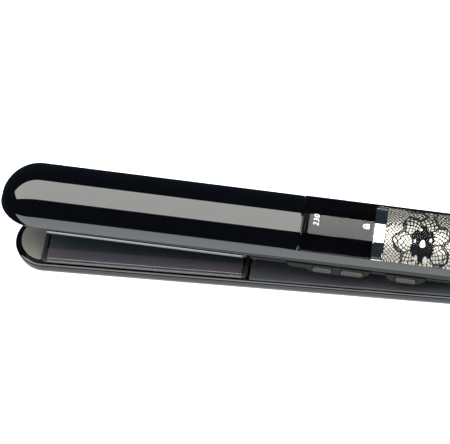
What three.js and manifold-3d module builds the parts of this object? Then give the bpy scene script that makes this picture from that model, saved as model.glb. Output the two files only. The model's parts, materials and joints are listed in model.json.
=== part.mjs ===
// A two-arm hair styling iron with floating flat plates: all parts in millimetres, +Z up.
// Each arm is drawn in its own frame: u runs along it from the nose, y across it, and n from
// its rim plane out into the dome. The lower arm lies on its flat underside, and the upper arm
// is turned open about the hinge pin.
import * as THREE from 'three';
import { mergeVertices } from 'three/addons/utils/BufferGeometryUtils.js';
import Module from 'manifold-3d';

const wasm = await Module();
wasm.setup();

// ---------------------------------------------------------------- driving dimensions
const GAP = 0.3;                    // between neighbouring pieces
const HALF_WIDTH = 20;              // of either arm
const ORIGIN_U = 150;               // the row's origin, along the arm
const REST_OPENING = THREE.MathUtils.degToRad(3.51);
const RIM_GAP = 6.6;                // between the two rim planes when the arms are shut
const HINGE_U = 300;
const LIP = { width: 3.4, drop: 1.4 };
const CREASE_INSET = 0.8;           // how far the side wall leans in by its top

// wallTop is where the side wall meets the dome, crown the dome's full rise, and depth where a
// flat cuts it off.
const UPPER = {
  nose: 0, noseLength: 19.7, rear: 309, rearLength: 12,
  wallTop: 6.8, crown: 21.2, depth: 21.2, skin: 3.2,
};
const LOWER = {
  nose: 7.6, noseLength: 16.2, rear: 315, rearLength: 12,
  wallTop: 3.7, crown: 13.6, depth: 11.6, skin: 2.4,
};

// The plate's face stands proud of the rim by `face`; its rails hang down into the tray.
const PLATE = {
  start: 26.1, end: 126.1, halfWidth: 18.8, faceHalfWidth: 18.0, face: 3.2, bevel: 1.0,
  wall: 1.2, side: 0.9, skirt: 0.7, railOuter: 9.6, railInner: 7.4, railFoot: 2.6,
};
const HEATER = { start: 33, end: 119, top: 1.7, foot: 0.3 };
const CLIP = { start: 40, end: 112, foot: 0.6, thick: 0.6, top: 1.9 };
const THERMISTOR = { u: 76, y: 2.4, radius: 1.6, foot: 1.5, top: 2.9, tail: 8, tailHalf: 0.6 };
const FLOAT_PAD = { front: 36, rear: 108, length: 9, halfWidth: 9 };
const FRAME = {
  start: 23.2, end: 128.8, halfWidth: 18.6, corner: 3, flange: 17.4, block: 2.3, thick: 0.8,
};
const TRAY = { inner: 10.2, outer: 11.5, floor: 5.8, foot: 7.0, inset: 3 };
const LEAD_EXIT = { halfWidth: 4, foot: 2.2, top: 5.4, length: 6 };   // slot in the tray's rear
const COVER = { start: 129.9, end: 290, halfWidth: 19.2, top: 1.5, ribHalf: 15.6, ribTop: 0.9 };
const SCREW = { front: 140, rear: 276, head: 2.4, crown: 1.2, rim: 0.9, seat: 0.1, shank: 1.2, length: 7.6 };
const BOSS = { radius: 3.2, hole: 1.5, top: 1.9 };
const COUNTERBORE = { radius: 2.7, floor: 0.2, hole: 1.5, pad: 4.2, padFoot: 1.6 };
const STOP_PAD = { u: 131.4, y: 4, radius: 1.3, foot: 1.8, top: 2.5 };

const WINDOW = { start: 153.4, end: 262, edgeAngle: 21, ledge: 2.2, ledgeWidth: 2.5, proud: 0.5 };
const BAND = { start: 190.3, end: 196.2 };
const PANEL_THICK = 0.6;
const BOARD = { start: 157, end: 250, halfWidth: 9.6, foot: 10.2, top: 11.4 };
const BOARD_TRAY = { halfWidth: 10.6, foot: 1.4, floor: 2.6, top: 9.9, wall: 1.2 };
const TRIAC = { start: 222, end: 230, near: -4, far: 6, top: 14.6 };
const LAMP = { first: 161.2, pitch: 5.05, half: 1.4, y: -3, height: 1.7 };

const POD = { front: -20.2, back: -12.6, bottom: 4.6, pocketBack: -13.6, pocketTop: 0.9, pocketFoot: 4.1 };
const PODS = { temperature: [157.8, 191.0], power: [199.0, 219.4] };
const FAIRING_START = 148.4;        // where the first pod's low nose begins
const BUTTONS = { plus: [161.9, 171.6], minus: [176.2, 187.5], power: [204.0, 214.4] };
const CAP = { top: 1.2, foot: 3.8, chamfer: 0.7, proud: 0.6, back: -17.6, travel: 0.5 };
const SWITCH = { halfLength: 3, front: -16.2, top: 1.4, foot: 3.6, stemHalf: 1, stemTop: 1.9, stemFoot: 3.1 };

const HINGE = { pin: 2.0, bore: 2.3, knuckle: 3.2, relief: 3.6, split: 12, springHalf: 6.2, halfWidth: 17.6 };
const SPRING = { wire: 0.45, coil: 3.0, turns: 7, halfLength: 5.4 };
const SOCKET = {
  n: 2.0, outer: 7.2, start: 309.6, end: 324, mouth: 5.4, back: 3,
  chamber: { radius: 6.4, start: 312.4, end: 322.4 },
};
const GLAND = { bore: 3.3, flange: 6.1, start: 318.6, neck: 5.1, neckStart: 322.1, collar: 6.0, end: 331 };
const LEAD = { radius: 0.9, start: 121, n: 4.6 };
const ROUND = 24;                   // sides on a small round piece
const OVERLAP = 0.1;                // by which joined stretches of one piece enter each other

// ---------------------------------------------------------------- finishes
const finish = (color, roughness, metalness = 0) =>
  new THREE.MeshStandardMaterial({ color, roughness, metalness });
const GLOSS_BLACK = finish(0x050609, 0.08);
const SATIN_BLACK = finish(0x1b1e22, 0.45);
const SATIN_GREY = finish(0x8c8e88, 0.35);
const COATED_PLATE = finish(0x3a3a44, 0.25, 0.8);
const CHROME = finish(0xf0f0f2, 0.05, 1);
const STEEL = finish(0xb4b6b8, 0.35, 1);
const CLEAR = new THREE.MeshStandardMaterial(
  { color: 0xf4f6f8, roughness: 0.05, transparent: true, opacity: 0.25 });
const PANEL_BLACK = finish(0x08080a, 0.3);
const LACE_SILVER = finish(0xa8aaae, 0.25, 0.6);
const CERAMIC = finish(0xe8e2d4, 0.7);
const SILICONE = finish(0xc04a32, 0.8);
const BOARD_GREEN = finish(0x1f5a38, 0.6);
const LED_WHITE = finish(0xf2f2ea, 0.4);
const LEAD_RED = finish(0xa02020, 0.5);
const LEAD_BLUE = finish(0x204080, 0.5);

// ---------------------------------------------------------------- geometry helpers
function signedVolume(geometry) {
  const { array } = geometry.attributes.position;
  const corner = (i) => new THREE.Vector3().fromArray(array, geometry.index.array[i] * 3);
  let sum = 0;
  for (let i = 0; i < geometry.index.count; i += 3) {
    sum += corner(i).dot(corner(i + 1).cross(corner(i + 2)));
  }
  return sum / 6;
}

// Merges shared vertices and turns the faces outwards.
function weld(geometry) {
  for (const name of ['normal', 'uv']) geometry.deleteAttribute(name);
  const welded = mergeVertices(geometry, 1e-4);
  if (signedVolume(welded) < 0) welded.index.array.reverse();
  return welded;
}

function solid(geometry) {
  const welded = weld(geometry);
  return new wasm.Manifold(new wasm.Mesh({
    numProp: 3,
    vertProperties: new Float32Array(welded.attributes.position.array),
    triVerts: new Uint32Array(welded.index.array),
  }));
}

function geometry(manifold) {
  const mesh = manifold.getMesh();
  const result = new THREE.BufferGeometry();
  result.setAttribute('position', new THREE.BufferAttribute(new Float32Array(mesh.vertProperties), 3));
  result.setIndex(new THREE.BufferAttribute(new Uint32Array(mesh.triVerts), 1));
  return result;
}

function box([u0, u1], [y0, y1], [n0, n1]) {
  return new THREE.BoxGeometry(u1 - u0, y1 - y0, n1 - n0)
    .translate((u0 + u1) / 2, (y0 + y1) / 2, (n0 + n1) / 2);
}

function prism(points, depth) {
  const shape = new THREE.Shape(points.map(([a, b]) => new THREE.Vector2(a, b)));
  return new THREE.ExtrudeGeometry(shape, { depth, bevelEnabled: false, curveSegments: 1 });
}

// A plan outline (u, y) raised from n0 to n1.
const raised = (points, n0, n1) => prism(points, n1 - n0).translate(0, 0, n0);

// A side outline (u, n) carried across from y0 to y1.
const across = (points, y0, y1) => prism(points, y1 - y0).rotateX(Math.PI / 2).translate(0, y1, 0);

// A cross-section (y, n) carried along from u0 to u1.
function along(points, u0, u1) {
  const turn = new THREE.Matrix4().set(0, 0, 1, 0, 1, 0, 0, 0, 0, 1, 0, 0, 0, 0, 0, 1);
  return prism(points, u1 - u0).applyMatrix4(turn).translate(u0, 0, 0);
}

const rodAcross = (radius, u, n, y0, y1, sides = ROUND) =>
  new THREE.CylinderGeometry(radius, radius, y1 - y0, sides).translate(u, (y0 + y1) / 2, n);
const rodUp = (radius, u, y, n0, n1, sides = ROUND) =>
  new THREE.CylinderGeometry(radius, radius, n1 - n0, sides)
    .rotateX(Math.PI / 2).translate(u, y, (n0 + n1) / 2);

// A closed (radius, distance) profile turned about a line along u, at height n.
function turnedAlong(profile, n, sides = 32) {
  const points = profile.map(([radius, u]) => new THREE.Vector2(radius, u));
  return new THREE.LatheGeometry(points, sides).rotateZ(-Math.PI / 2).translate(0, 0, n);
}

// The same about a line along n, through (u, y).
function turnedUp(profile, u, y, sides = ROUND) {
  const points = profile.map(([radius, n]) => new THREE.Vector2(radius, n));
  return new THREE.LatheGeometry(points, sides).rotateX(Math.PI / 2).translate(u, y, 0);
}

function cut(body, ...tools) {
  return geometry(tools.reduce((left, tool) => left.subtract(solid(tool)), solid(body)));
}

function join(...pieces) {
  return geometry(pieces.map(solid).reduce((left, piece) => left.add(piece)));
}

// Closed loops of equal length, skinned one to the next, with flat ends.
function loft(loops) {
  const size = loops[0].length;
  const positions = loops.flat().flatMap((p) => [p.x, p.y, p.z]);
  const index = [];
  for (let ring = 0; ring + 1 < loops.length; ring++) {
    for (let i = 0; i < size; i++) {
      const a = ring * size + i;
      const b = ring * size + ((i + 1) % size);
      index.push(a, b, b + size, a, b + size, a + size);
    }
  }
  const last = (loops.length - 1) * size;
  for (let i = 1; i + 1 < size; i++) {
    index.push(0, i + 1, i);
    index.push(last, last + i, last + i + 1);
  }
  const result = new THREE.BufferGeometry();
  result.setAttribute('position', new THREE.Float32BufferAttribute(positions, 3));
  result.setIndex(index);
  return result;
}

// ---------------------------------------------------------------- the arm's shape
const NOSE_STEPS = 18;
const REAR_STEPS = 10;

// The arm's plan outline, shrunk to a half width: a round nose, straight sides, a round rear.
function outline(arm, halfWidth) {
  const shrink = halfWidth / HALF_WIDTH;
  const points = [];
  for (let i = 0; i <= NOSE_STEPS; i++) {
    const turn = Math.PI / 2 + (Math.PI * i) / NOSE_STEPS;
    points.push([arm.nose + arm.noseLength * (1 + shrink * Math.cos(turn)), halfWidth * Math.sin(turn)]);
  }
  for (let i = 0; i <= REAR_STEPS; i++) {
    const turn = -Math.PI / 2 + (Math.PI * i) / REAR_STEPS;
    points.push([arm.rear - arm.rearLength * (1 - shrink * Math.cos(turn)), halfWidth * Math.sin(turn)]);
  }
  return points;
}

const ring = (arm, halfWidth, n) => outline(arm, halfWidth).map(([u, y]) => new THREE.Vector3(u, y, n));

// The dome is part of an ellipse centred on the rim plane; these are its angle at the top of
// the side wall and its half width.
const creaseTurn = (arm) => Math.asin(arm.wallTop / arm.crown);
const domeHalf = (arm) => (HALF_WIDTH - CREASE_INSET) / Math.cos(creaseTurn(arm));

// Half of the dome's cross-section, from the top of the side wall to the flat or near the crown.
function domeArc(arm, steps) {
  const LAST_TURN = THREE.MathUtils.degToRad(88);
  const start = creaseTurn(arm);
  const end = Math.min(Math.asin(arm.depth / arm.crown), LAST_TURN);
  return Array.from({ length: steps + 1 }, (_, i) => {
    const turn = start + (end - start) * (i / steps);
    return [domeHalf(arm) * Math.cos(turn), arm.crown * Math.sin(turn)];
  });
}

// A hollow shell: rounded lip, leaning side wall and dome outside, and a smooth cavity inside.
function armShell(arm) {
  const DOME_STEPS = 12;
  const LIP_STEPS = 4;
  const CAVITY_STEPS = 7;
  const CAVITY_WALL = 2.6;
  const CAVITY_TURN = THREE.MathUtils.degToRad(85);
  const opening = HALF_WIDTH - LIP.width;
  const cavityRise = arm.depth - arm.skin - CAVITY_WALL;
  const lip = Array.from({ length: LIP_STEPS + 1 }, (_, i) => {
    const turn = (Math.PI / 2) * (1 - i / LIP_STEPS);
    return [opening + LIP.width * Math.sin(turn), LIP.drop * (1 - Math.cos(turn))];
  });
  const cavity = Array.from({ length: CAVITY_STEPS + 1 }, (_, i) => {
    const turn = CAVITY_TURN * (i / CAVITY_STEPS);
    return [opening * Math.cos(turn), CAVITY_WALL + cavityRise * Math.sin(turn)];
  });
  const profile = [...domeArc(arm, DOME_STEPS).reverse(), ...lip, ...cavity];
  return loft(profile.map(([halfWidth, n]) => ring(arm, halfWidth, n)));
}

// A band of the upper dome's own cross-section between two depths, cut short of both creases.
function domeBand(u0, u1, outer, inner, edgeAngle = WINDOW.edgeAngle) {
  const STEPS = 20;
  const start = THREE.MathUtils.degToRad(edgeAngle);
  const arc = (inset) => Array.from({ length: STEPS + 1 }, (_, i) => {
    const turn = start + (Math.PI - 2 * start) * (i / STEPS);
    return [(domeHalf(UPPER) - inset) * Math.cos(turn), (UPPER.crown - inset) * Math.sin(turn)];
  });
  return along([...arc(outer), ...arc(inner).reverse()], u0, u1);
}

// ---------------------------------------------------------------- shells and inner covers
function screwBoss(arm, u) {
  const ROOT = 0.8;
  const SIDES = 16;
  return cut(rodUp(BOSS.radius, u, 0, BOSS.top, arm.depth - arm.skin + ROOT, SIDES),
    rodUp(BOSS.hole, u, 0, BOSS.top - 1, SCREW.length + 1, SIDES));
}

// The upper shell has a ledge for the display cover, and an opening inside the ledge.
function upperShell() {
  const ABOVE = -2;
  const BELOW = 6;
  const SEAT_ANGLE = WINDOW.edgeAngle - 1.2;
  const OPENING_ANGLE = 34;
  const { start, end, ledge, ledgeWidth } = WINDOW;
  const body = join(armShell(UPPER), screwBoss(UPPER, SCREW.front), screwBoss(UPPER, SCREW.rear));
  return cut(body, domeBand(start, end, ABOVE, ledge, SEAT_ANGLE),
    domeBand(start + ledgeWidth, end - ledgeWidth, ABOVE, BELOW, OPENING_ANGLE));
}

// The room that the cord socket takes in the lower arm's rear.
function socketRoom() {
  const bore = SOCKET.outer + GAP;
  return turnedAlong([[0, SOCKET.start - GAP], [bore, SOCKET.start - GAP],
    [bore, SOCKET.end], [0, SOCKET.end]], SOCKET.n);
}

function lowerShell() {
  const body = join(armShell(LOWER), screwBoss(LOWER, SCREW.front), screwBoss(LOWER, SCREW.rear));
  return cut(body, socketRoom());
}

// The flat inner face of the nose, let in flush with the lip.
function noseCover(arm) {
  const THICK = 1.7;
  const PROUD = 0.1;
  const end = FRAME.start - GAP;
  const points = outline(arm, HALF_WIDTH - LIP.width - GAP).filter(([u]) => u < end);
  const side = points[0][1];
  return raised([[end, side], ...points, [end, -side]], -PROUD, THICK - PROUD);
}

// The grip's inner cover, with a counterbored hole for each screw.
function innerCover() {
  const { start, end, halfWidth, top, ribHalf, ribTop } = COVER;
  const root = -GAP - OVERLAP;
  const panel = box([start, end], [-halfWidth, halfWidth], [-top, -GAP]);
  const step = box([start + 1, end - 1], [-ribHalf, ribHalf], [root, ribTop]);
  const pads = [SCREW.front, SCREW.rear].map((u) => rodUp(COUNTERBORE.pad, u, 0, root, COUNTERBORE.padFoot));
  const holes = [SCREW.front, SCREW.rear].flatMap((u) => [
    rodUp(COUNTERBORE.radius, u, 0, -top - 1, COUNTERBORE.floor),
    rodUp(COUNTERBORE.hole, u, 0, -top - 1, COUNTERBORE.padFoot + 1),
  ]);
  return cut(join(panel, step, ...pads), ...holes);
}

function coverScrew(u) {
  const { head, crown, rim, seat, shank, length } = SCREW;
  const SIDES = 16;
  const POINT = 0.6;
  return turnedUp([[0, -crown], [head * 0.6, -crown], [head, -rim], [head, -seat], [shank, -seat],
    [shank, length], [0, length + POINT]], u, 0, SIDES);
}

// ---------------------------------------------------------------- heated plate and its carrier
function heatedPlate() {
  const { start, end, halfWidth: w, faceHalfWidth: f, face, bevel, wall, side, skirt } = PLATE;
  const { railOuter, railInner, railFoot } = PLATE;
  const half = [[w, -skirt], [w - side, -skirt], [w - side, wall - face], [railOuter, wall - face],
    [railOuter, railFoot], [railInner, railFoot], [railInner, wall - face]];
  const top = [[-w, -skirt], [-w, bevel - face], [-f, -face], [f, -face], [w, bevel - face]];
  const mirrored = half.slice(1).map(([y, n]) => [-y, n]).reverse();
  return along([...top, ...half, ...mirrored], start, end);
}

// A heat-proof frame: end blocks beside the plate, a flange below it and a tray for its rails.
function plateFrame() {
  const { start, end, halfWidth, corner, flange, block, thick } = FRAME;
  const CORNER_STEPS = 6;
  const CORNER_LENGTH = 0.8 * corner;
  const foot = -GAP;
  const endBlock = (outer, inner) => {
    const round = Array.from({ length: CORNER_STEPS + 1 }, (_, i) => {
      const turn = (Math.PI / 2) * (i / CORNER_STEPS);
      return [outer + Math.sign(inner - outer) * CORNER_LENGTH * (1 - Math.cos(turn)),
        halfWidth - corner * (1 - Math.sin(turn))];
    });
    const mirrored = round.map(([u, y]) => [u, -y]).reverse();
    return raised([[inner, -halfWidth], ...mirrored, ...round, [inner, halfWidth]], -block, foot);
  };
  const body = join(
    endBlock(start, PLATE.start - GAP),
    endBlock(end, PLATE.end + GAP),
    box([start + 1, end - 1], [-flange, flange], [foot - thick, foot]),
    box([start + TRAY.inset, end - TRAY.inset], [-TRAY.outer, TRAY.outer], [foot - thick / 2, TRAY.foot]),
  );
  return cut(body,
    box([PLATE.start - 1, PLATE.end + 1], [-TRAY.inner, TRAY.inner], [-block - 1, TRAY.floor]),
    box([PLATE.end - LEAD_EXIT.length, end + 1], [-LEAD_EXIT.halfWidth, LEAD_EXIT.halfWidth],
      [LEAD_EXIT.foot, LEAD_EXIT.top]));
}

function heaterClip() {
  const { start, end, foot, thick, top } = CLIP;
  const rail = PLATE.railInner - GAP;
  const section = [[-rail, foot], [rail, foot], [rail, top], [rail - thick, top],
    [rail - thick, foot + thick], [thick - rail, foot + thick], [thick - rail, top], [-rail, top]];
  return along(section, start, end);
}

function thermistor() {
  const { u, y, radius, foot, top, tail, tailHalf } = THERMISTOR;
  return join(rodUp(radius, u, y, foot, top),
    box([u, u + tail], [y - tailHalf, y + tailHalf], [foot + GAP, top - GAP]));
}

function addHeating(group, prefix) {
  const rail = PLATE.railInner - GAP;
  const { length, halfWidth } = FLOAT_PAD;
  add(group, `${prefix}_plate_frame`, plateFrame(), SATIN_GREY);
  add(group, `${prefix}_plate`, heatedPlate(), COATED_PLATE);
  add(group, `${prefix}_heater`,
    box([HEATER.start, HEATER.end], [-rail, rail], [-HEATER.top, HEATER.foot]), CERAMIC);
  add(group, `${prefix}_heater_clip`, heaterClip(), STEEL);
  add(group, `${prefix}_thermistor`, thermistor(), CERAMIC);
  for (const place of ['front', 'rear']) {
    const u = FLOAT_PAD[place];
    add(group, `${prefix}_float_pad_${place}`,
      box([u, u + length], [-halfWidth, halfWidth], [PLATE.railFoot + GAP, TRAY.floor - GAP]), SILICONE);
  }
}

// ---------------------------------------------------------------- leads inside an arm
// A closed tube along a smooth route.
function tube(points, section, steps) {
  const route = new THREE.CatmullRomCurve3(points.map((p) => new THREE.Vector3(...p)));
  const shape = new THREE.Shape(section.map(([a, b]) => new THREE.Vector2(a, b)));
  return new THREE.ExtrudeGeometry(shape, { steps, bevelEnabled: false, extrudePath: route });
}

// The two leads run from the heater, round the screw bosses, to the rear of the grip.
function addLeads(group, prefix) {
  const SIDES = 8;
  const STEPS = 24;
  const section = Array.from({ length: SIDES }, (_, i) => {
    const turn = (2 * Math.PI * i) / SIDES;
    return [LEAD.radius * Math.cos(turn), LEAD.radius * Math.sin(turn)];
  });
  const { start, n } = LEAD;
  for (const [name, side, colour] of [['live', 1, LEAD_RED], ['neutral', -1, LEAD_BLUE]]) {
    const route = [[start, 1.6, n - 0.4], [start + 9, 2.4, n - 0.6], [SCREW.front - 1, 5.6, n],
      [SCREW.front + 10, 5, n], [200, 4, n], [SCREW.rear - 14, 5, n], [SCREW.rear, 5.8, n],
      [SCREW.rear + 12, 5, n]];
    add(group, `${prefix}_lead_${name}`, tube(route.map(([u, y, up]) => [u, y * side, up]), section, STEPS),
      colour);
  }
}

// ---------------------------------------------------------------- hinge and cord swivel
const PIN_N = -RIM_GAP / 2;         // the pin's axis, half way between the two rim planes
const LOWER_KNUCKLES = [[-HINGE.halfWidth, -HINGE.split - GAP], [HINGE.split + GAP, HINGE.halfWidth]];
const UPPER_KNUCKLES = [[-HINGE.split, -HINGE.springHalf], [HINGE.springHalf, HINGE.split]];

const knuckle = ([y0, y1]) => join(rodAcross(HINGE.knuckle, HINGE_U, PIN_N, y0, y1),
  box([HINGE_U - HINGE.knuckle, HINGE_U + HINGE.knuckle], [y0, y1], [PIN_N, -GAP - OVERLAP]));

// One leaf of the hinge: a rear cover plate with knuckles at its own stretches of the pin.
function hingeLeaf(arm, own, others) {
  const SPRING_RELIEF = HINGE.relief + 0.6;
  const start = COVER.end + GAP;
  const w = COVER.halfWidth - 0.4;
  const rear = outline(arm, w).filter(([u]) => u > start + 1);
  const plate = raised([[start, -w], ...rear, [start, w]], -COVER.top, -GAP);
  const reliefs = others.map(([y0, y1]) => rodAcross(HINGE.relief, HINGE_U, PIN_N, y0 - GAP, y1 + GAP));
  return cut(join(cut(plate, ...reliefs), ...own.map(knuckle)),
    rodAcross(HINGE.bore, HINGE_U, PIN_N, -HALF_WIDTH, HALF_WIDTH),
    rodAcross(SPRING_RELIEF, HINGE_U, PIN_N, -HINGE.springHalf, HINGE.springHalf));
}

function torsionSpring() {
  const { wire, coil, turns, halfLength } = SPRING;
  const PER_TURN = 8;
  const count = turns * PER_TURN;
  const points = Array.from({ length: count + 1 }, (_, i) => {
    const turn = (2 * Math.PI * i) / PER_TURN;
    const y = halfLength * ((2 * i) / count - 1);
    return [HINGE_U + coil * Math.cos(turn), y, PIN_N + coil * Math.sin(turn)];
  });
  const square = [[wire, wire], [-wire, wire], [-wire, -wire], [wire, -wire]];
  return tube(points, square, turns * 12);
}

// The socket is fixed in the lower arm's rear, and holds the gland's flange in its chamber.
function swivelSocket() {
  const CHAMFER = 0.7;
  const TAPER = 3;
  const { outer, start, end, mouth, back, chamber, n } = SOCKET;
  return turnedAlong([[back, start], [outer - CHAMFER, start], [outer, start + CHAMFER], [outer, end - TAPER],
    [outer - CHAMFER, end], [mouth, end], [mouth, chamber.end], [chamber.radius, chamber.end],
    [chamber.radius, chamber.start], [back, chamber.start], [back, start]], n);
}

function swivelGland() {
  const CHAMFER = 0.9;
  const TAPER = 2;
  const { bore, flange, start, neck, neckStart, collar, end } = GLAND;
  const collarStart = SOCKET.end + 0.4;
  return turnedAlong([[bore, start], [flange, start], [flange, neckStart], [neck, neckStart],
    [neck, collarStart], [collar, collarStart], [collar, end - TAPER], [collar - CHAMFER, end], [bore, end],
    [bore, start]], SOCKET.n);
}

// ---------------------------------------------------------------- display and its electronics
function addDisplay(group) {
  const { start, end, ledge, proud } = WINDOW;
  const panelFoot = ledge - GAP;
  const panelTop = panelFoot - PANEL_THICK;
  const panel = (u0, u1) => domeBand(u0, u1, panelTop, panelFoot);
  add(group, 'display_cover', domeBand(start + GAP, end - GAP, -proud, panelTop - GAP), CLEAR);
  add(group, 'display_panel', panel(start + GAP, BAND.start - GAP / 2), PANEL_BLACK);
  add(group, 'chrome_band', panel(BAND.start + GAP / 2, BAND.end - GAP / 2), CHROME);
  add(group, 'lace_panel', panel(BAND.end + GAP / 2, end - GAP), LACE_SILVER);
}

function boardTray() {
  const { halfWidth: w, foot, floor, top, wall } = BOARD_TRAY;
  return along([[-w, foot], [w, foot], [w, top], [w - wall, top], [w - wall, floor],
    [wall - w, floor], [wall - w, top], [-w, top]], BOARD.start - 1, BOARD.end + 1);
}

// The board stands on its tray's rims, with the triac and one lamp behind each mark.
function addElectronics(group) {
  const { start, end, halfWidth, foot, top } = BOARD;
  const deck = top + GAP;
  add(group, 'board_tray', boardTray(), SATIN_BLACK);
  add(group, 'control_board', box([start, end], [-halfWidth, halfWidth], [foot, top]), BOARD_GREEN);
  add(group, 'triac', box([TRIAC.start, TRIAC.end], [TRIAC.near, TRIAC.far], [deck, TRIAC.top]), SATIN_BLACK);
  ['230', '210', '190', '170', '150', 'lock'].forEach((name, i) => {
    const u = LAMP.first + LAMP.pitch * i;
    add(group, `lamp_${name}`, box([u - LAMP.half, u + LAMP.half], [LAMP.y - LAMP.half, LAMP.y + LAMP.half],
      [deck, deck + LAMP.height]), LED_WHITE);
  });
}

// ---------------------------------------------------------------- buttons on the near inner edge
// A pod hangs below the rim like a boat's hull; its nose may run on as a low fairing.
function podProfile([start, end], fairing = []) {
  const { bottom } = POD;
  const ROUND_OFF = 0.5;
  const stern = [[end, -GAP], [end - 0.6, -2.0], [end - 3.6, ROUND_OFF - bottom], [end - 5.2, -bottom]];
  const bow = [[start + 5.2, -bottom], [start + 3.4, ROUND_OFF - bottom], [start + 0.8, -2.9]];
  const tip = fairing.length ? fairing : [[start, -GAP]];
  return [...stern, ...bow, ...tip];
}

function buttonPod(profile, names) {
  const pockets = names.map((name) => {
    const [u0, u1] = BUTTONS[name];
    return box([u0 - GAP, u1 + GAP], [POD.front - 1, POD.pocketBack], [-POD.pocketFoot, -POD.pocketTop]);
  });
  return cut(across(profile, POD.front, POD.back), ...pockets);
}

function addButton(group, name) {
  const [u0, u1] = BUTTONS[name];
  const { top, foot, chamfer: c, proud, back, travel } = CAP;
  const middle = (u0 + u1) / 2;
  const cap = across([[u0 + c, -foot], [u1 - c, -foot], [u1, c - foot], [u1, -top - c],
    [u1 - c, -top], [u0 + c, -top], [u0, -top - c], [u0, c - foot]], POD.front - proud, back);
  const body = box([middle - SWITCH.halfLength, middle + SWITCH.halfLength],
    [SWITCH.front, POD.pocketBack - GAP], [-SWITCH.foot, -SWITCH.top]);
  const stem = box([middle - SWITCH.stemHalf, middle + SWITCH.stemHalf],
    [back + travel + 0.2, SWITCH.front + OVERLAP], [-SWITCH.stemFoot, -SWITCH.stemTop]);
  add(group, `${name}_button`, cap, SATIN_BLACK);
  add(group, `${name}_switch`, join(body, stem), STEEL);
}

function addControls(group) {
  const { temperature, power } = PODS;
  const fairing = [[temperature[0] - 0.4, -2.7], [FAIRING_START + 3.2, -2.6], [FAIRING_START + 1.4, -2.0],
    [FAIRING_START, -GAP]];
  const longPod = podProfile(temperature, fairing);
  add(group, 'temperature_bezel', buttonPod(longPod, ['plus', 'minus']), SATIN_BLACK);
  add(group, 'power_bezel', buttonPod(podProfile(power), ['power']), SATIN_BLACK);
  for (const name of Object.keys(BUTTONS)) addButton(group, name);
}

// The upper inner cover makes room for the two pods.
function upperInnerCover() {
  const notch = (u0, u1) => box([u0 - GAP, u1 + GAP], [-HALF_WIDTH, POD.back + GAP], [-COVER.top - 1, 0]);
  return cut(innerCover(), notch(FAIRING_START, PODS.temperature[1]), notch(...PODS.power));
}

// ---------------------------------------------------------------- assembly
function add(group, name, shape, material) {
  const mesh = new THREE.Mesh(weld(shape), material);
  mesh.name = name;
  group.add(mesh);
}

const styler = new THREE.Group();
const rimHeight = LOWER.depth;
const hingeHeight = rimHeight + RIM_GAP / 2;

const lowerArm = new THREE.Group();
lowerArm.rotation.x = Math.PI;
lowerArm.position.set(-ORIGIN_U, 0, rimHeight);
styler.add(lowerArm);

const upperArm = new THREE.Group();
upperArm.rotation.y = REST_OPENING;
upperArm.position.set(HINGE_U - ORIGIN_U, 0, hingeHeight);
const upperFrame = new THREE.Group();
upperFrame.position.set(-HINGE_U, 0, RIM_GAP / 2);
upperArm.add(upperFrame);
styler.add(upperArm);

function addCasing(group, prefix, arm, shell, cover, leaf) {
  add(group, `${prefix}_shell`, shell, GLOSS_BLACK);
  add(group, `${prefix}_nose_cover`, noseCover(arm), SATIN_GREY);
  add(group, `${prefix}_inner_cover`, cover, SATIN_BLACK);
  add(group, `${prefix}_cover_screw_front`, coverScrew(SCREW.front), STEEL);
  add(group, `${prefix}_cover_screw_rear`, coverScrew(SCREW.rear), STEEL);
  add(group, `${prefix}_hinge_leaf`, leaf, SATIN_BLACK);
}

const lowerLeaf = cut(hingeLeaf(LOWER, LOWER_KNUCKLES, UPPER_KNUCKLES), socketRoom());
addCasing(lowerArm, 'lower', LOWER, lowerShell(), innerCover(), lowerLeaf);
addHeating(lowerArm, 'lower');
addLeads(lowerArm, 'lower');
add(lowerArm, 'hinge_pin', rodAcross(HINGE.pin, HINGE_U, PIN_N, 0.2 - HINGE.halfWidth, HINGE.halfWidth - 0.2),
  STEEL);
add(lowerArm, 'torsion_spring', torsionSpring(), STEEL);
add(lowerArm, 'swivel_socket', swivelSocket(), GLOSS_BLACK);
add(lowerArm, 'swivel_gland', swivelGland(), SATIN_BLACK);
for (const [side, y] of [['near', STOP_PAD.y], ['far', -STOP_PAD.y]]) {
  const { u, radius, foot, top } = STOP_PAD;
  add(lowerArm, `stop_pad_${side}`, turnedUp([[0, -top], [0.7 * radius, 0.1 - top],
    [radius, 0.5 - top], [radius, -foot], [0, -foot]], u, y), SATIN_GREY);
}

const upperLeaf = hingeLeaf(UPPER, UPPER_KNUCKLES, LOWER_KNUCKLES);
addCasing(upperFrame, 'upper', UPPER, upperShell(), upperInnerCover(), upperLeaf);
addHeating(upperFrame, 'upper');
addLeads(upperFrame, 'upper');
addDisplay(upperFrame);
addElectronics(upperFrame);
addControls(upperFrame);

export default styler;
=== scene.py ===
# %% [markdown]
# # A two-arm hair styling iron
# Two glossy black arms turn about a pin at the back. Each carries a floating heated plate, and
# the upper one has a clear display cover with a lace panel behind it. The working parts come
# from a fixed CAD frame, in metres. This lesson gives them their finished surfaces: smooth
# lofted casings, a moulded lens, rounded edges, and materials with grain, wear and dust.

# %% Load the fixed frame
import json
import math
from functools import partial

import bmesh
import bpy
import numpy as np
from mathutils import Matrix, Vector


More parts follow.
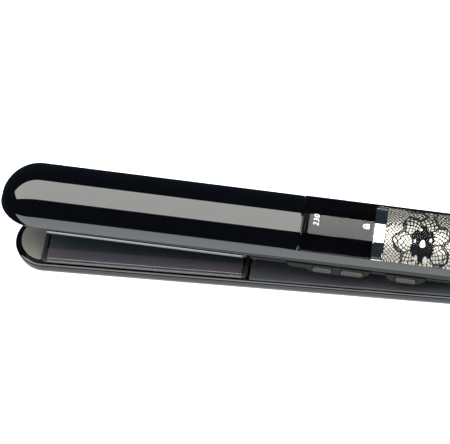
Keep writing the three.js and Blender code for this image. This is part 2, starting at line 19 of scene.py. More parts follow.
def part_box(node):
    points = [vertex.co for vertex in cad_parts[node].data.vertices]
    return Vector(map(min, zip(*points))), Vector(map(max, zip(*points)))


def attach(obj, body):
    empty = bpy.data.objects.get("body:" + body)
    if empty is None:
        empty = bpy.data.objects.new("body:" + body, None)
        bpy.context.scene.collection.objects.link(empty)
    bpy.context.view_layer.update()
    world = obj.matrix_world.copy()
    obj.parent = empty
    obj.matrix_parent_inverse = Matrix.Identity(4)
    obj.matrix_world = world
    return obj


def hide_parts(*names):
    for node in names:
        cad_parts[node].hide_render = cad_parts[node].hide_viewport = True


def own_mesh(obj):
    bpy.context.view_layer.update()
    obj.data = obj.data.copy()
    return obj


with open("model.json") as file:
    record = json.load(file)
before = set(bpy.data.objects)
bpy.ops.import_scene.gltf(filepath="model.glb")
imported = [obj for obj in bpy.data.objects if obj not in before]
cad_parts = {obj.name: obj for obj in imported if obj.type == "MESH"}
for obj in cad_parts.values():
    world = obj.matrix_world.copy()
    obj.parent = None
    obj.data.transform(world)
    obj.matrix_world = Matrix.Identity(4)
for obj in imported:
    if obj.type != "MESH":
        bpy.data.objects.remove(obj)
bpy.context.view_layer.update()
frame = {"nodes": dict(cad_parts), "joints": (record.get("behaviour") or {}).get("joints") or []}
scene = bpy.context.scene
joints = {joint["name"]: joint for joint in frame["joints"]}


def linked(name, data):
    """A new object in the scene, holding the given mesh, light, camera or curve."""
    made = bpy.data.objects.new(name, data)
    scene.collection.objects.link(made)
    return made


# %% [markdown]
# ## One drawing frame for each arm
# A designer draws both arms flat on the bench: u runs back from the nose, y runs across, and n
# goes from the rim plane out into the dome, all in millimetres. A matrix then puts a drawing in
# its place. The lower arm lies upside down on its flat back. The upper arm is turned open about
# the hinge pin, by the angle that its plate's travel leans from the vertical.

# %% Arm frames and driving sizes
MM = 0.001
HINGE_U = 300
RIM_GAP = 6.6
HALF_WIDTH = 20
LIP_WIDTH = 3.4
LIP_DROP = 1.4
CREASE_HALF = 19.2
UPPER = {"nose": 0, "nose_length": 19.7, "rear": 309, "rear_length": 12,
         "wall_top": 6.8, "crown": 21.2, "depth": 21.2, "skin": 3.2}
LOWER = {"nose": 7.6, "nose_length": 16.2, "rear": 315, "rear_length": 12,
         "wall_top": 3.7, "crown": 13.6, "depth": 11.6, "skin": 2.4}

hinge = Vector(joints["arm_hinge"]["pos_m"])
plate_travel = joints["upper_plate_float"]["axis"]
opening = math.atan2(plate_travel[0], plate_travel[2])
rim_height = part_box("lower_shell")[1].z
nose_x = hinge.x - HINGE_U * MM

LOWER_ARM = (Matrix.Translation((nose_x, 0, rim_height)) @ Matrix.Rotation(math.pi, 4, "X")
             @ Matrix.Scale(MM, 4))
UPPER_ARM = (Matrix.Translation(hinge) @ Matrix.Rotation(opening, 4, "Y")
             @ Matrix.Translation((-HINGE_U * MM, 0, RIM_GAP / 2 * MM)) @ Matrix.Scale(MM, 4))
ARMS = (("lower", LOWER_ARM, "root"), ("upper", UPPER_ARM, "upper_arm"))
print("open by", round(math.degrees(opening), 2), "degrees, rim at", round(rim_height, 4), "m")

# %% [markdown]
# ## The camera
# Product shots of long thin things use a long lens from far away, so that the near arm isn't
# swollen. The lens here is long enough to look almost flat, from above and a little to one side.

# %% Camera
AZIMUTH = math.radians(6.8)
ELEVATION = math.radians(42.5)
DISTANCE = 2.335
AIM = Vector((-0.0346, 0, 0.0328))

back = Vector((math.sin(AZIMUTH) * math.cos(ELEVATION), -math.cos(AZIMUTH) * math.cos(ELEVATION),
               math.sin(ELEVATION)))
camera = linked("camera", bpy.data.cameras.new("camera"))
camera.data.lens = 368
camera.data.sensor_width = 36
camera.location = AIM + back * DISTANCE
camera.rotation_euler = back.to_track_quat("Z", "Y").to_euler()
scene.camera = camera
scene.view_settings.view_transform = "Standard"
print("lens:", camera.data.lens, "mm at", DISTANCE, "m")

# %% [markdown]
# ## Floor and light
# Black gloss shows only what it mirrors, so the lights are placed by what each face sees. One
# long softbox overhead draws the grey band along the dome. The pale floor in front is mirrored
# in the side walls. The floor behind and to the left is kept out of reflections, as a dark
# flag would do, so the far side of the dome stays black. The floor glows a little, like the
# light table under a catalogue shot, so no shadow is left on it. A fill light without
# highlights opens up the shadows.

# %% Lights
def area_light(name, centre, target, size, power, colour=(1, 1, 1)):
    light = bpy.data.lights.new(name, "AREA")
    light.shape = "RECTANGLE"
    light.size, light.size_y = size
    light.energy = power
    light.color = colour
    lamp = linked(name, light)
    lamp.location = centre
    lamp.rotation_euler = (Vector(centre) - Vector(target)).to_track_quat("Z", "Y").to_euler()
    lamp.visible_camera = False
    return lamp


SOFTBOX_HEIGHT = 0.55
softbox_far = SOFTBOX_HEIGHT * math.tan(math.radians(15.5))
softbox_near = SOFTBOX_HEIGHT * math.tan(math.radians(40))
softbox_y = (softbox_far - softbox_near) / 2
area_light("softbox", (-0.3, softbox_y, SOFTBOX_HEIGHT), (-0.3, softbox_y, 0),
           (2.8, softbox_far + softbox_near), 23, (1, 1, 0.96))
fill = area_light("fill", (-0.3, -1.4, 0.9), (0, 0, 0), (1.2, 0.8), 14)
for ray in ("glossy", "transmission"):
    setattr(fill, f"visible_{ray}", False)

world = bpy.data.worlds.new("studio")
scene.world = world
world.use_nodes = True
world.node_tree.nodes["Background"].inputs["Color"].default_value = (0.020, 0.029, 0.038, 1)

print("softbox", round(softbox_far + softbox_near, 3), "m deep")

# %% Floor
FLOOR_CUT = -0.225
NEAR = -0.055
FAR_AWAY = 3.0


def floor_part(name, x0, x1, y0, y1, below=-0.0001):
    mesh = bpy.data.meshes.new(name)
    corners = [(x0, y0, below), (x1, y0, below), (x1, y1, below), (x0, y1, below)]
    mesh.from_pydata(corners, [], [(0, 1, 2, 3)])
    floor = linked(name, mesh)
    return floor


floors = [floor_part("floor_front", FLOOR_CUT, FAR_AWAY, -FAR_AWAY, NEAR),
          floor_part("floor_left", -FAR_AWAY, FLOOR_CUT, -FAR_AWAY, NEAR),
          floor_part("floor_near", -FAR_AWAY, FAR_AWAY, NEAR, 0.0),
          floor_part("floor_back", -FAR_AWAY, FAR_AWAY, 0.0, FAR_AWAY)]
for floor in floors[1:]:
    floor.visible_glossy = False
    floor.visible_transmission = False
# Painted shade: a dimmer card under the near floor, seen only in reflections, stands in for the floor's
# shadow next to the arms.
grey_card = floor_part("grey_card", -0.16, 0.3, NEAR, 0.0, -0.0003)
grey_card.visible_camera = False
print("floor pieces:", len(floors) + 1)

# %% [markdown]
# ## Shared surface effects
# Moulded plastic has a fine grain, rubbed edges turn paler, and dust settles on what faces up.
# Each effect is a node group with named sockets, built once and given its own values in each
# material. They read the object's own coordinates, so they stay put when the arms move.

# %% Node helpers
def node_group(name, inputs, outputs):
    """A shader node group with float or vector inputs, and its two end nodes."""
    tree = bpy.data.node_groups.new(name, "ShaderNodeTree")
    for socket, value in inputs.items():
        kind = "NodeSocketVector" if value is None else "NodeSocketFloat"
        made = tree.interface.new_socket(socket, in_out="INPUT", socket_type=kind)
        if value is not None:
            made.default_value = value
    for socket in outputs:
        tree.interface.new_socket(socket, in_out="OUTPUT", socket_type="NodeSocketFloat")
    return tree, tree.nodes.new("NodeGroupInput"), tree.nodes.new("NodeGroupOutput")


def calc(tree, operation, *values, clamp=False):
    """A Math node on numbers or sockets, returning its result socket."""
    node = tree.nodes.new("ShaderNodeMath")
    node.operation = operation
    node.use_clamp = clamp
    for socket, value in zip(node.inputs, values):
        if isinstance(value, (int, float)):
            socket.default_value = value
        else:
            tree.links.new(value, socket)
    return node.outputs[0]


def noise(tree, vector, scale, detail=3.0, roughness=0.5):
    node = tree.nodes.new("ShaderNodeTexNoise")
    node.inputs["Detail"].default_value = detail
    node.inputs["Roughness"].default_value = roughness
    tree.links.new(vector, node.inputs["Vector"])
    if isinstance(scale, (int, float)):
        node.inputs["Scale"].default_value = scale
    else:
        tree.links.new(scale, node.inputs["Scale"])
    return node.outputs["Fac"]


def ramp(tree, value, low, high, out_low=0.0, out_high=1.0):
    node = tree.nodes.new("ShaderNodeMapRange")
    for socket, number in (("From Min", low), ("From Max", high),
                           ("To Min", out_low), ("To Max", out_high)):
        node.inputs[socket].default_value = number
    tree.links.new(value, node.inputs["Value"])
    return node.outputs["Result"]

# %% Material helpers
def new_material(name):
    material = bpy.data.materials.new(name)
    material.use_nodes = True
    return material, material.node_tree, material.node_tree.nodes["Principled BSDF"]


def colour_mix(tree, factor, first, second):
    """A Mix node for colours, each a tuple or a socket, returning its result socket."""
    node = tree.nodes.new("ShaderNodeMix")
    node.data_type = "RGBA"
    tree.links.new(factor, node.inputs["Factor"])
    for socket, value in ((node.inputs[6], first), (node.inputs[7], second)):
        if isinstance(value, tuple):
            socket.default_value = (*value, 1)
        else:
            tree.links.new(value, socket)
    return node.outputs[2]


def add_bump(tree, shader, height, strength, distance):
    bump = tree.nodes.new("ShaderNodeBump")
    bump.inputs["Strength"].default_value = strength
    bump.inputs["Distance"].default_value = distance
    tree.links.new(height, bump.inputs["Height"])
    tree.links.new(bump.outputs["Normal"], shader.inputs["Normal"])

# %% Grain, wear and dust groups
def grain_group():
    tree, start, end = node_group("Moulded grain", {"Vector": None, "Scale": 2600.0}, ["Tone", "Height"])
    fine = noise(tree, start.outputs["Vector"], start.outputs["Scale"], 4.0, 0.6)
    broad = noise(tree, start.outputs["Vector"], 38.0, 2.0)
    tree.links.new(calc(tree, "ADD", calc(tree, "MULTIPLY", fine, 0.45),
                        calc(tree, "MULTIPLY", broad, 0.55)), end.inputs["Tone"])
    tree.links.new(fine, end.inputs["Height"])
    return tree


def wear_group():
    tree, start, end = node_group("Edge wear", {"Vector": None, "Reach": 0.0006, "Amount": 1.0}, ["Mask"])
    bevel = tree.nodes.new("ShaderNodeBevel")
    bevel.samples = 4
    tree.links.new(start.outputs["Reach"], bevel.inputs["Radius"])
    surface = tree.nodes.new("ShaderNodeNewGeometry")
    dot = tree.nodes.new("ShaderNodeVectorMath")
    dot.operation = "DOT_PRODUCT"
    tree.links.new(bevel.outputs["Normal"], dot.inputs[0])
    tree.links.new(surface.outputs["Normal"], dot.inputs[1])
    turned = calc(tree, "SUBTRACT", 1.0, dot.outputs["Value"])
    patchy = ramp(tree, noise(tree, start.outputs["Vector"], 700.0, 4.0), 0.35, 0.65)
    edge = calc(tree, "MULTIPLY", ramp(tree, turned, 0.02, 0.2), patchy)
    tree.links.new(calc(tree, "MULTIPLY", edge, start.outputs["Amount"], clamp=True), end.inputs["Mask"])
    return tree


def dust_group():
    tree, start, end = node_group("Settled dust", {"Vector": None, "Amount": 0.1}, ["Mask"])
    surface = tree.nodes.new("ShaderNodeNewGeometry")
    split = tree.nodes.new("ShaderNodeSeparateXYZ")
    tree.links.new(surface.outputs["Normal"], split.inputs[0])
    upward = ramp(tree, split.outputs["Z"], 0.2, 0.9)
    specks = ramp(tree, noise(tree, start.outputs["Vector"], 2200.0, 2.0, 0.4), 0.66, 0.74)
    film = ramp(tree, noise(tree, start.outputs["Vector"], 60.0, 5.0), 0.4, 0.8, 0.0, 0.35)
    settled = calc(tree, "MULTIPLY", calc(tree, "ADD", specks, film), upward)
    tree.links.new(calc(tree, "MULTIPLY", settled, start.outputs["Amount"], clamp=True), end.inputs["Mask"])
    return tree


GRAIN, WEAR, DUST = grain_group(), wear_group(), dust_group()
print("node groups:", [tree.name for tree in (GRAIN, WEAR, DUST)])

# %% [markdown]
# ## Finishes
# Every finish starts from one recipe: a base colour that its grain makes a little lighter and
# darker, a roughness that the same grain changes, a bump for the tooth of the surface, paler
# worn edges, and a trace of dust. A finish then only says how much of each it has. What is the
# same all over, such as the coat or the index of refraction, is set on the shader itself.

# %% The finish recipe
DUST_COLOUR = (0.42, 0.40, 0.37)


def finish(name, colour, roughness, metallic=0.0, grain=2600.0, tone=0.12, tooth=0.04, spread=0.06,
           wear=0.3, worn=None, dust=0.04, stretch=(1, 1, 1), **sockets):
    material, tree, shader = new_material(name)
    coordinates = tree.nodes.new("ShaderNodeTexCoord")
    mapping = tree.nodes.new("ShaderNodeMapping")
    mapping.inputs["Scale"].default_value = stretch
    tree.links.new(coordinates.outputs["Object"], mapping.inputs["Vector"])

    def place(group, **values):
        node = tree.nodes.new("ShaderNodeGroup")
        node.node_tree = group
        tree.links.new(mapping.outputs["Vector"], node.inputs["Vector"])
        for socket, value in values.items():
            node.inputs[socket].default_value = value
        return node

    texture = place(GRAIN, Scale=grain)
    rubbed = place(WEAR, Amount=wear)
    settled = place(DUST, Amount=dust)
    dark = tuple(c * (1 - tone) for c in colour)
    light = tuple(min(1.0, c * (1 + tone)) for c in colour)
    pale = worn or tuple(min(1.0, c * 1.6 + 0.02) for c in colour)
    body = colour_mix(tree, texture.outputs["Tone"], dark, light)
    body = colour_mix(tree, rubbed.outputs["Mask"], body, pale)
    body = colour_mix(tree, settled.outputs["Mask"], body, DUST_COLOUR)
    tree.links.new(body, shader.inputs["Base Color"])
    rough = ramp(tree, texture.outputs["Tone"], 0.3, 0.7, roughness - spread / 2, roughness + spread / 2)
    rough = calc(tree, "ADD", rough, calc(tree, "MULTIPLY", settled.outputs["Mask"], 0.5), clamp=True)
    tree.links.new(rough, shader.inputs["Roughness"])
    shader.inputs["Metallic"].default_value = metallic
    add_bump(tree, shader, texture.outputs["Height"], tooth, 0.0002)
    for socket, value in sockets.items():
        shader.inputs[socket.replace("_", " ")].default_value = value
    return material

# %% Finishes of the shells, frames and pods
gloss_black = finish("gloss_black", (0.0005, 0.0005, 0.0009), 0.035, tone=0.4, tooth=0.0, spread=0.03,
                     wear=0.02, dust=0.003, IOR=1.75)
lower_gloss = finish("lower_gloss", (0.001, 0.001, 0.0012), 0.07, tone=0.4, tooth=0.0, spread=0.04,
                     wear=0.02, dust=0.003, IOR=1.6)
grey_plastic = finish("grey_plastic", (0.15, 0.15, 0.135), 0.42, tooth=0.08, wear=0.15)
frame_grey = finish("frame_grey", (0.016, 0.017, 0.017), 0.38, tooth=0.08, wear=0.5, worn=(0.10, 0.10, 0.095))
satin_black = finish("satin_black", (0.036, 0.038, 0.044), 0.36, tooth=0.12, wear=0.5,
                     worn=(0.10, 0.10, 0.105))
pod_satin = finish("pod_satin", (0.008, 0.008, 0.008), 0.34, tooth=0.05, wear=0.3, worn=(0.08, 0.08, 0.07),
                   IOR=1.3)
cap_satin = finish("cap_satin", (0.035, 0.035, 0.031), 0.3, tooth=0.05, wear=0.3, worn=(0.12, 0.12, 0.10),
                   IOR=1.4)
# Painted highlight: the rounded edges of the pods and buttons are a paler olive, for the light they catch.
rim_satin = finish("rim_satin", (0.15, 0.15, 0.13), 0.28, metallic=0.4, tooth=0.05, wear=0.2)
print("plastics:", gloss_black.name, lower_gloss.name, grey_plastic.name, satin_black.name)

# %% Finishes of the metals and the inside
dark_plastic = finish("dark_plastic", (0.012, 0.012, 0.014), 0.5, tooth=0.15)
plate_coating = finish("plate_coating", (0.034, 0.043, 0.048), 0.24, metallic=0.3, tone=0.2, tooth=0.03,
                       wear=0.1, worn=(0.12, 0.12, 0.14))
plate_metal = finish("plate_metal", (0.22, 0.22, 0.225), 0.28, metallic=1.0, grain=900.0, tooth=0.05,
                     spread=0.14, stretch=(0.04, 1, 1), wear=0.3, worn=(0.45, 0.45, 0.45))
steel = finish("steel", (0.46, 0.46, 0.47), 0.3, metallic=1.0, tooth=0.06, spread=0.12)
chrome = finish("chrome", (0.86, 0.87, 0.88), 0.04, metallic=1.0, tone=0.02, tooth=0.0, spread=0.02,
                wear=0.0, dust=0.0)
ceramic = finish("ceramic", (0.74, 0.70, 0.60), 0.62, tooth=0.2)
silicone = finish("silicone", (0.42, 0.085, 0.05), 0.7, tooth=0.15)
red_lead = finish("red_lead", (0.05, 0.004, 0.004), 0.42, tooth=0.08)
blue_lead = finish("blue_lead", (0.004, 0.008, 0.04), 0.42, tooth=0.08)
board_green = finish("board_green", (0.016, 0.115, 0.05), 0.4, grain=420.0, tone=0.45, tooth=0.1)
lamp_white = finish("lamp_white", (0.82, 0.82, 0.76), 0.35, tooth=0.02)
print("metals:", plate_metal.name, steel.name, chrome.name)

# %% Finishes of the display, the lace and the floor
panel_black = finish("panel_black", (0.0009, 0.0007, 0.0014), 0.6, tooth=0.03, wear=0.0, dust=0.0, IOR=1.06)
SILVER = (0.60, 0.585, 0.52)
silver_film = finish("silver_film", SILVER, 0.34, metallic=0.7, tone=0.1, tooth=0.05, wear=0.0, dust=0.0)
lace_thread = finish("lace_thread", (0.008, 0.008, 0.010), 0.7, grain=5200.0, tone=0.4, tooth=0.3,
                     wear=0.0, dust=0.0, IOR=1.1)
unlit_mark = finish("unlit_mark", (0.040, 0.030, 0.028), 0.5, tooth=0.0, wear=0.0, dust=0.0)
lit_mark = finish("lit_mark", (0.9, 0.9, 0.9), 0.4, tooth=0.0, wear=0.0, dust=0.0,
                  Emission_Color=(1, 1, 1, 1), Emission_Strength=0.6)
floor_finish = finish("floor_finish", (0.43, 0.45, 0.46), 0.7, grain=300.0, tone=0.01, tooth=0.02,
                      wear=0.0, dust=0.0, Emission_Color=(0.92, 0.98, 1, 1), Emission_Strength=1.3)
# Painted shade: the dim glow of the card that stands in for the shaded floor beside the arms.
card_finish = finish("card_finish", (0.25, 0.26, 0.26), 0.7, grain=300.0, tone=0.03, wear=0.0, dust=0.0,
                     Emission_Color=(1, 1, 1, 1), Emission_Strength=0.45)
for floor in floors:
    floor.data.materials.append(floor_finish)
grey_card.data.materials.append(card_finish)
print("marks:", lit_mark.name, unlit_mark.name, "on", panel_black.name)

# %% Painted light on the plates
def painted_light_lane(material, colour, y0, y1):
    """A lighter lane along a plate's near side: painted reflection and light, not a change in its coating."""
    tree = material.node_tree
    base = tree.nodes["Principled BSDF"].inputs["Base Color"]
    coordinates = tree.nodes.new("ShaderNodeTexCoord")
    split = tree.nodes.new("ShaderNodeSeparateXYZ")
    tree.links.new(coordinates.outputs["Object"], split.inputs[0])
    lane = ramp(tree, split.outputs["Y"], y0, y1, 1.0, 0.0)
    tree.links.new(colour_mix(tree, lane, base.links[0].from_socket, colour), base)


# Painted light: the near side of the plates' coating is a lighter purple grey, for the reflection and fill
# light it catches.
painted_light_lane(plate_coating, (0.075, 0.068, 0.084), -0.0108, -0.0103)
print("finishes:", len(bpy.data.materials))

# %% [markdown]
# ## Clear acrylic
# The display cover is cast acrylic: no colour, a high polish and an index of 1.49. It doesn't
# block the light that falls on the panel behind it, so it is left out of shadows.

# %% Clear acrylic
def clear_acrylic(name, index):
    material, tree, shader = new_material(name)
    shader.inputs["Base Color"].default_value = (1, 1, 1, 1)
    shader.inputs["IOR"].default_value = index
    shader.inputs["Transmission Weight"].default_value = 1.0
    coordinates = tree.nodes.new("ShaderNodeTexCoord")
    smears = noise(tree, coordinates.outputs["Object"], 45.0, 5.0)
    tree.links.new(ramp(tree, smears, 0.35, 0.75, 0.0, 0.012), shader.inputs["Roughness"])
    return material


acrylic = clear_acrylic("clear_acrylic", 1.49)
coated = clear_acrylic("coated_acrylic", 1.12)
bonded = clear_acrylic("bonded_acrylic", 1.001)
print("acrylics:", acrylic.name, coated.name, bonded.name)

# %% [markdown]
# ## Making a mesh
# Most pieces below are grids of points skinned with quads. One helper turns points in an arm's
# drawing frame into an object at the origin, merges the seams, and turns the faces outwards.

# %% Mesh helpers
SHARP = math.radians(25)


def make_piece(name, points, faces, arm, material, sharp=SHARP, outward=True):
    mesh = bpy.data.meshes.new(name)
    mesh.from_pydata([tuple(p) for p in points], [], faces)
    mesh.transform(arm)
    bm = bmesh.new()
    bm.from_mesh(mesh)
    bmesh.ops.remove_doubles(bm, verts=bm.verts, dist=2e-7)
    bmesh.ops.dissolve_degenerate(bm, edges=bm.edges, dist=1e-7)
    if outward:
        bmesh.ops.recalc_face_normals(bm, faces=bm.faces)
    bm.to_mesh(mesh)
    bm.free()
    return dress(bpy.data.objects.new(name, mesh), [material], sharp)


def dress(piece, materials, sharp=SHARP):
    """Link a piece, give it its materials, and shade it smooth up to a sharp angle."""
    scene.collection.objects.link(piece)
    piece.data.materials.clear()
    for material in materials:
        piece.data.materials.append(material)
    piece.data.shade_smooth()
    piece.data.set_sharp_from_angle(angle=sharp)
    return piece


def settle(piece, body, slot, *nodes):
    """Attach a finished piece to what it rides on, and hide the CAD nodes it stands for; slot is not used."""
    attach(piece, body)
    if nodes:
        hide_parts(*nodes)
    return piece

# %% Small shape helpers
def mesh_of(name, bm):
    mesh = bpy.data.meshes.new(name)
    bm.to_mesh(mesh)
    bm.free()
    return mesh


def baked(holder):
    """The mesh that an object's text or modifiers make."""
    return bpy.data.meshes.new_from_object(holder.evaluated_get(bpy.context.evaluated_depsgraph_get()))


def arc_corner(centre, radius, start, end, steps=5):
    turns = [math.radians(start + (end - start) * i / steps) for i in range(steps + 1)]
    return [(centre[0] + radius * math.cos(t), centre[1] + radius * math.sin(t)) for t in turns]


def skin(rings, closed=True):
    """Quads between rings of equal length."""
    size = len(rings[0])
    faces = []
    for r in range(len(rings) - 1):
        for i in range(size if closed else size - 1):
            a, b = r * size + i, r * size + (i + 1) % size
            faces.append((a, b, b + size, a + size))
    return [p for ring in rings for p in ring], faces

# %% [markdown]
# ## The casings
# Each casing is a loft. Its plan is a round nose, two straight sides and a round back, and its
# height follows one profile: half an ellipse for the dome, a soft crease, a short side wall, and
# a rounded lip. A mesh grid suits this best, since every point is worked out from the same two
# curves as the CAD solid, only finer. The upper casing also steps down to a shelf for the lens.

# %% Casing profile
def crease_turn(arm):
    return math.asin(arm["wall_top"] / arm["crown"])


def dome_half(arm):
    return CREASE_HALF / math.cos(crease_turn(arm))


def softened(points, corner, reach, steps=5):
    """Replace one corner of a profile by a small smooth curve."""
    before, at, after = (Vector(points[i]) for i in (corner - 1, corner, corner + 1))
    start = at + (before - at).normalized() * min(reach, (before - at).length * 0.9)
    end = at + (after - at).normalized() * min(reach, (after - at).length * 0.9)
    curve = [start.lerp(at, t).lerp(at.lerp(end, t), t) for t in (i / steps for i in range(steps + 1))]
    return points[:corner] + [tuple(p) for p in curve] + points[corner + 1:]


def dome_profile(arm, steps=34):
    first = crease_turn(arm)
    last = math.asin(min(1.0, arm["depth"] / arm["crown"]))
    turns = [last + (first - last) * i / steps for i in range(steps + 1)]
    edge = math.radians(21)
    turns = sorted({*turns, edge + 0.002, edge - 0.002}, reverse=True)
    return [(dome_half(arm) * math.cos(t), arm["crown"] * math.sin(t)) for t in turns]


def lip_profile(steps=8):
    opening_half = HALF_WIDTH - LIP_WIDTH
    turns = [math.pi / 2 * (1 - i / steps) for i in range(steps + 1)]
    return [(opening_half + LIP_WIDTH * math.sin(t), LIP_DROP * (1 - math.cos(t))) for t in turns]


def cavity_profile(arm, steps=10):
    wall = 2.6
    rise = arm["depth"] - arm["skin"] - wall
    turns = [math.pi / 2 * i / steps for i in range(steps + 1)]
    return [((HALF_WIDTH - LIP_WIDTH) * math.cos(t), wall + rise * math.sin(t)) for t in turns]


def casing_profile(arm):
    dome = dome_profile(arm)
    outside = dome + lip_profile()
    outside = softened(outside, len(dome) - 1, 1.3, 8)
    if arm["depth"] < arm["crown"]:
        outside = softened([(0.0, arm["depth"])] + outside, 1, 1.6)
    return outside + cavity_profile(arm)


print("profile points:", len(casing_profile(UPPER)), "and", len(casing_profile(LOWER)))

# %% Casing loft
WINDOW = {"start": 153.4, "end": 262, "edge_turn": math.radians(21), "ledge": 2.2, "proud": 0.5}
STEP = 0.06
EDGE_ROUND = 1.0


def window_depth(u):
    """How far the casing sinks below its dome at a station: its edge rolls off, then it drops."""
    outside = max(WINDOW["start"] - u, u - WINDOW["end"])
    if outside < -STEP / 2:
        return WINDOW["ledge"]
    return 0.28 * max(0.0, 1 - outside / EDGE_ROUND) ** 2


def plan_ring(arm, half, n, stations, sunk_turn=None):
    """One level of the casing; sunk_turn is the level's turn on the dome if the window cuts it."""
    share = half / HALF_WIDTH
    nose, length, rear, back_length = (arm[k] for k in ("nose", "nose_length", "rear", "rear_length"))

    def side(sign, us):
        ring = []
        for u in us:
            w, level = half, n
            if sunk_turn is not None:
                depth = window_depth(u)
                w = (dome_half(arm) - depth) * math.cos(sunk_turn)
                level = (arm["crown"] - depth) * math.sin(sunk_turn)
            ring.append((u, sign * w, level))
        return ring

    turns = [math.pi / 2 + math.pi * i / 56 for i in range(57)]
    ring = [(nose + length * (1 + share * math.cos(t)), half * math.sin(t), n) for t in turns]
    ring += side(-1, stations)
    turns = [-math.pi / 2 + math.pi * i / 36 for i in range(37)]
    ring += [(rear - back_length * (1 - share * math.cos(t)), half * math.sin(t), n) for t in turns]
    return ring + side(1, stations[::-1])


print("the casing sinks", window_depth(200), "mm under the lens")

# %% Casings
def casing(name, arm, matrix, window, material):
    stations = [30, 60, 90, 120, 145, 275]
    if window:
        for edge, outward in ((WINDOW["start"], -1), (WINDOW["end"], 1)):
            stations += [edge - outward * STEP]
            stations += [edge + outward * EDGE_ROUND * step / 6 for step in range(7)]
        stations += [170, 190, 210, 230, 250]
    rings = []
    for half, n in casing_profile(arm):
        turn = math.atan2(n / arm["crown"], half / dome_half(arm))
        on_dome = abs(math.hypot(n / arm["crown"], half / dome_half(arm)) - 1) < 0.004
        cut = window and on_dome and turn > WINDOW["edge_turn"]
        rings.append(plan_ring(arm, half, n, sorted(stations), turn if cut else None))
    return make_piece(name, *skin(rings), matrix, material)


upper_casing = casing("upper_casing", UPPER, UPPER_ARM, True, gloss_black)
lower_casing = casing("lower_casing", LOWER, LOWER_ARM, False, lower_gloss)
settle(upper_casing, "upper_arm", "gloss_black_shell", "upper_shell")
settle(lower_casing, "root", "gloss_black_shell", "lower_shell")
print("casing faces:", len(upper_casing.data.polygons), len(lower_casing.data.polygons))

# %% [markdown]
# ## Wrapping flat artwork on the dome
# The display's figures and the lace are printed flat and laminated to the curve. So they are
# drawn flat here too, as distance along the arm and distance round the dome from its crown, and
# then bent. A table of arc lengths along the ellipse gives each distance its place.

# %% Wrap helper
ARC_STEPS = 2000
arc_turns = np.linspace(0, math.pi, ARC_STEPS + 1)


def arc_table(depth):
    """The dome's ellipse at a depth: its half-width, its height and its running length."""
    across, up = dome_half(UPPER) - depth, UPPER["crown"] - depth
    ys, ns = across * np.cos(arc_turns), up * np.sin(arc_turns)
    return across, up, np.concatenate(([0], np.cumsum(np.hypot(np.diff(ys), np.diff(ns)))))


def dome_point(u, arc, depth):
    """The point at an arc length from the crown, toward +y, sunk below the dome's surface."""
    across, up, lengths = arc_table(depth)
    turn = np.interp(lengths[-1] / 2 - np.asarray(arc, float), lengths, arc_turns)
    return np.column_stack((u, across * np.cos(turn), up * np.sin(turn)))


def arc_half(depth, turn=WINDOW["edge_turn"]):
    """Arc length from the crown down to a given turn above the crease."""
    fine = np.linspace(turn, math.pi / 2, ARC_STEPS)
    ys, ns = (dome_half(UPPER) - depth) * np.cos(fine), (UPPER["crown"] - depth) * np.sin(fine)
    return float(np.hypot(np.diff(ys), np.diff(ns)).sum())


print("half the window's arc:", round(arc_half(0), 2), "mm")

# %% [markdown]
# ## Laminated strips under the lens
# Under the lens lie three strips: a black display panel, a chrome band and a silver film. Each
# is a thin curved slab, so one function builds them all from a rectangle of stations and arcs.
# The silver film also gets a UV map in the flat drawing's shape, for its lace pattern.

# %% Curved slabs
BAND = {"start": 190.3, "end": 196.2}
CLEARANCE = 0.3
PANEL_TOP, PANEL_FOOT = 1.3, 1.9


def slab_faces(rows, width):
    """Quads of a slab: a top grid of points, a foot grid numbered after it, and a wall round both."""
    under, last = rows * width, (rows - 1) * width
    corners = [i * width + j for i in range(rows - 1) for j in range(width - 1)]
    faces = [(a, a + 1, a + 1 + width, a + width) for a in corners]
    faces += [(a + under, a + under + width, a + under + width + 1, a + under + 1) for a in corners]
    walls = [(j, j + 1) for j in range(width - 1)]
    walls += [(last + j + 1, last + j) for j in range(width - 1)]
    walls += [(a + width, a) for a in range(0, last, width)]
    walls += [(a, a + width) for a in range(width - 1, last, width)]
    return faces + [(a, a + under, b + under, b) for a, b in walls]


def curved_slab(name, u0, u1, top, foot, material, arcs=64, crown_bulge=0.0, start=-1.0):
    lengths = np.linspace(1, start, arcs + 1)
    us = [u0, u0 + 0.25, u1 - 0.25, u1]
    points = []
    for depth in (top, foot):
        for i, u in enumerate(us):
            level = depth - (crown_bulge if depth == top and 0 < i < 3 else 0.0)
            points.extend(dome_point(np.full(arcs + 1, u), lengths * arc_half(level), level))
    return make_piece(name, points, slab_faces(len(us), arcs + 1), UPPER_ARM, material)

# %% Display panel and chrome band
display_panel = curved_slab("display_backing", WINDOW["start"] + CLEARANCE, BAND["start"] - 0.15,
                            PANEL_TOP, PANEL_FOOT, panel_black)
settle(display_panel, "upper_arm", "display_black", "display_panel")
chrome_trim = curved_slab("chrome_trim", BAND["start"] + 0.15, BAND["end"] - 0.15,
                          PANEL_TOP, PANEL_FOOT, chrome, crown_bulge=0.12)
settle(chrome_trim, "upper_arm", "chrome", "chrome_band")
print("strip faces:", len(display_panel.data.polygons), len(chrome_trim.data.polygons))

# %% [markdown]
# ## The lace film
# Black lace lies on mirror film. The mesh of the lace is far too fine to model thread by thread,
# so it is a pattern in the film's material: cells that fan out from a flower, ribs between its
# petals and scalloped borders. All of it is worked out from the flat drawing's own coordinates,
# which the UV map holds. The solid flowers are real pieces, laid on the film below.

# %% Lace pattern
FILM = {"start": BAND["end"] + 0.15, "end": WINDOW["end"] - CLEARANCE}
FLOWER_U, FLOWER_ARC = 215.5, -12.4
REPEAT_U, REPEAT_ARC = 29.0, 34.0
FLOWERS = [(u, arc, flip) for u in (FLOWER_U, FLOWER_U + REPEAT_U)
           for arc, flip in ((FLOWER_ARC, 1), (FLOWER_ARC + REPEAT_ARC, -1))]


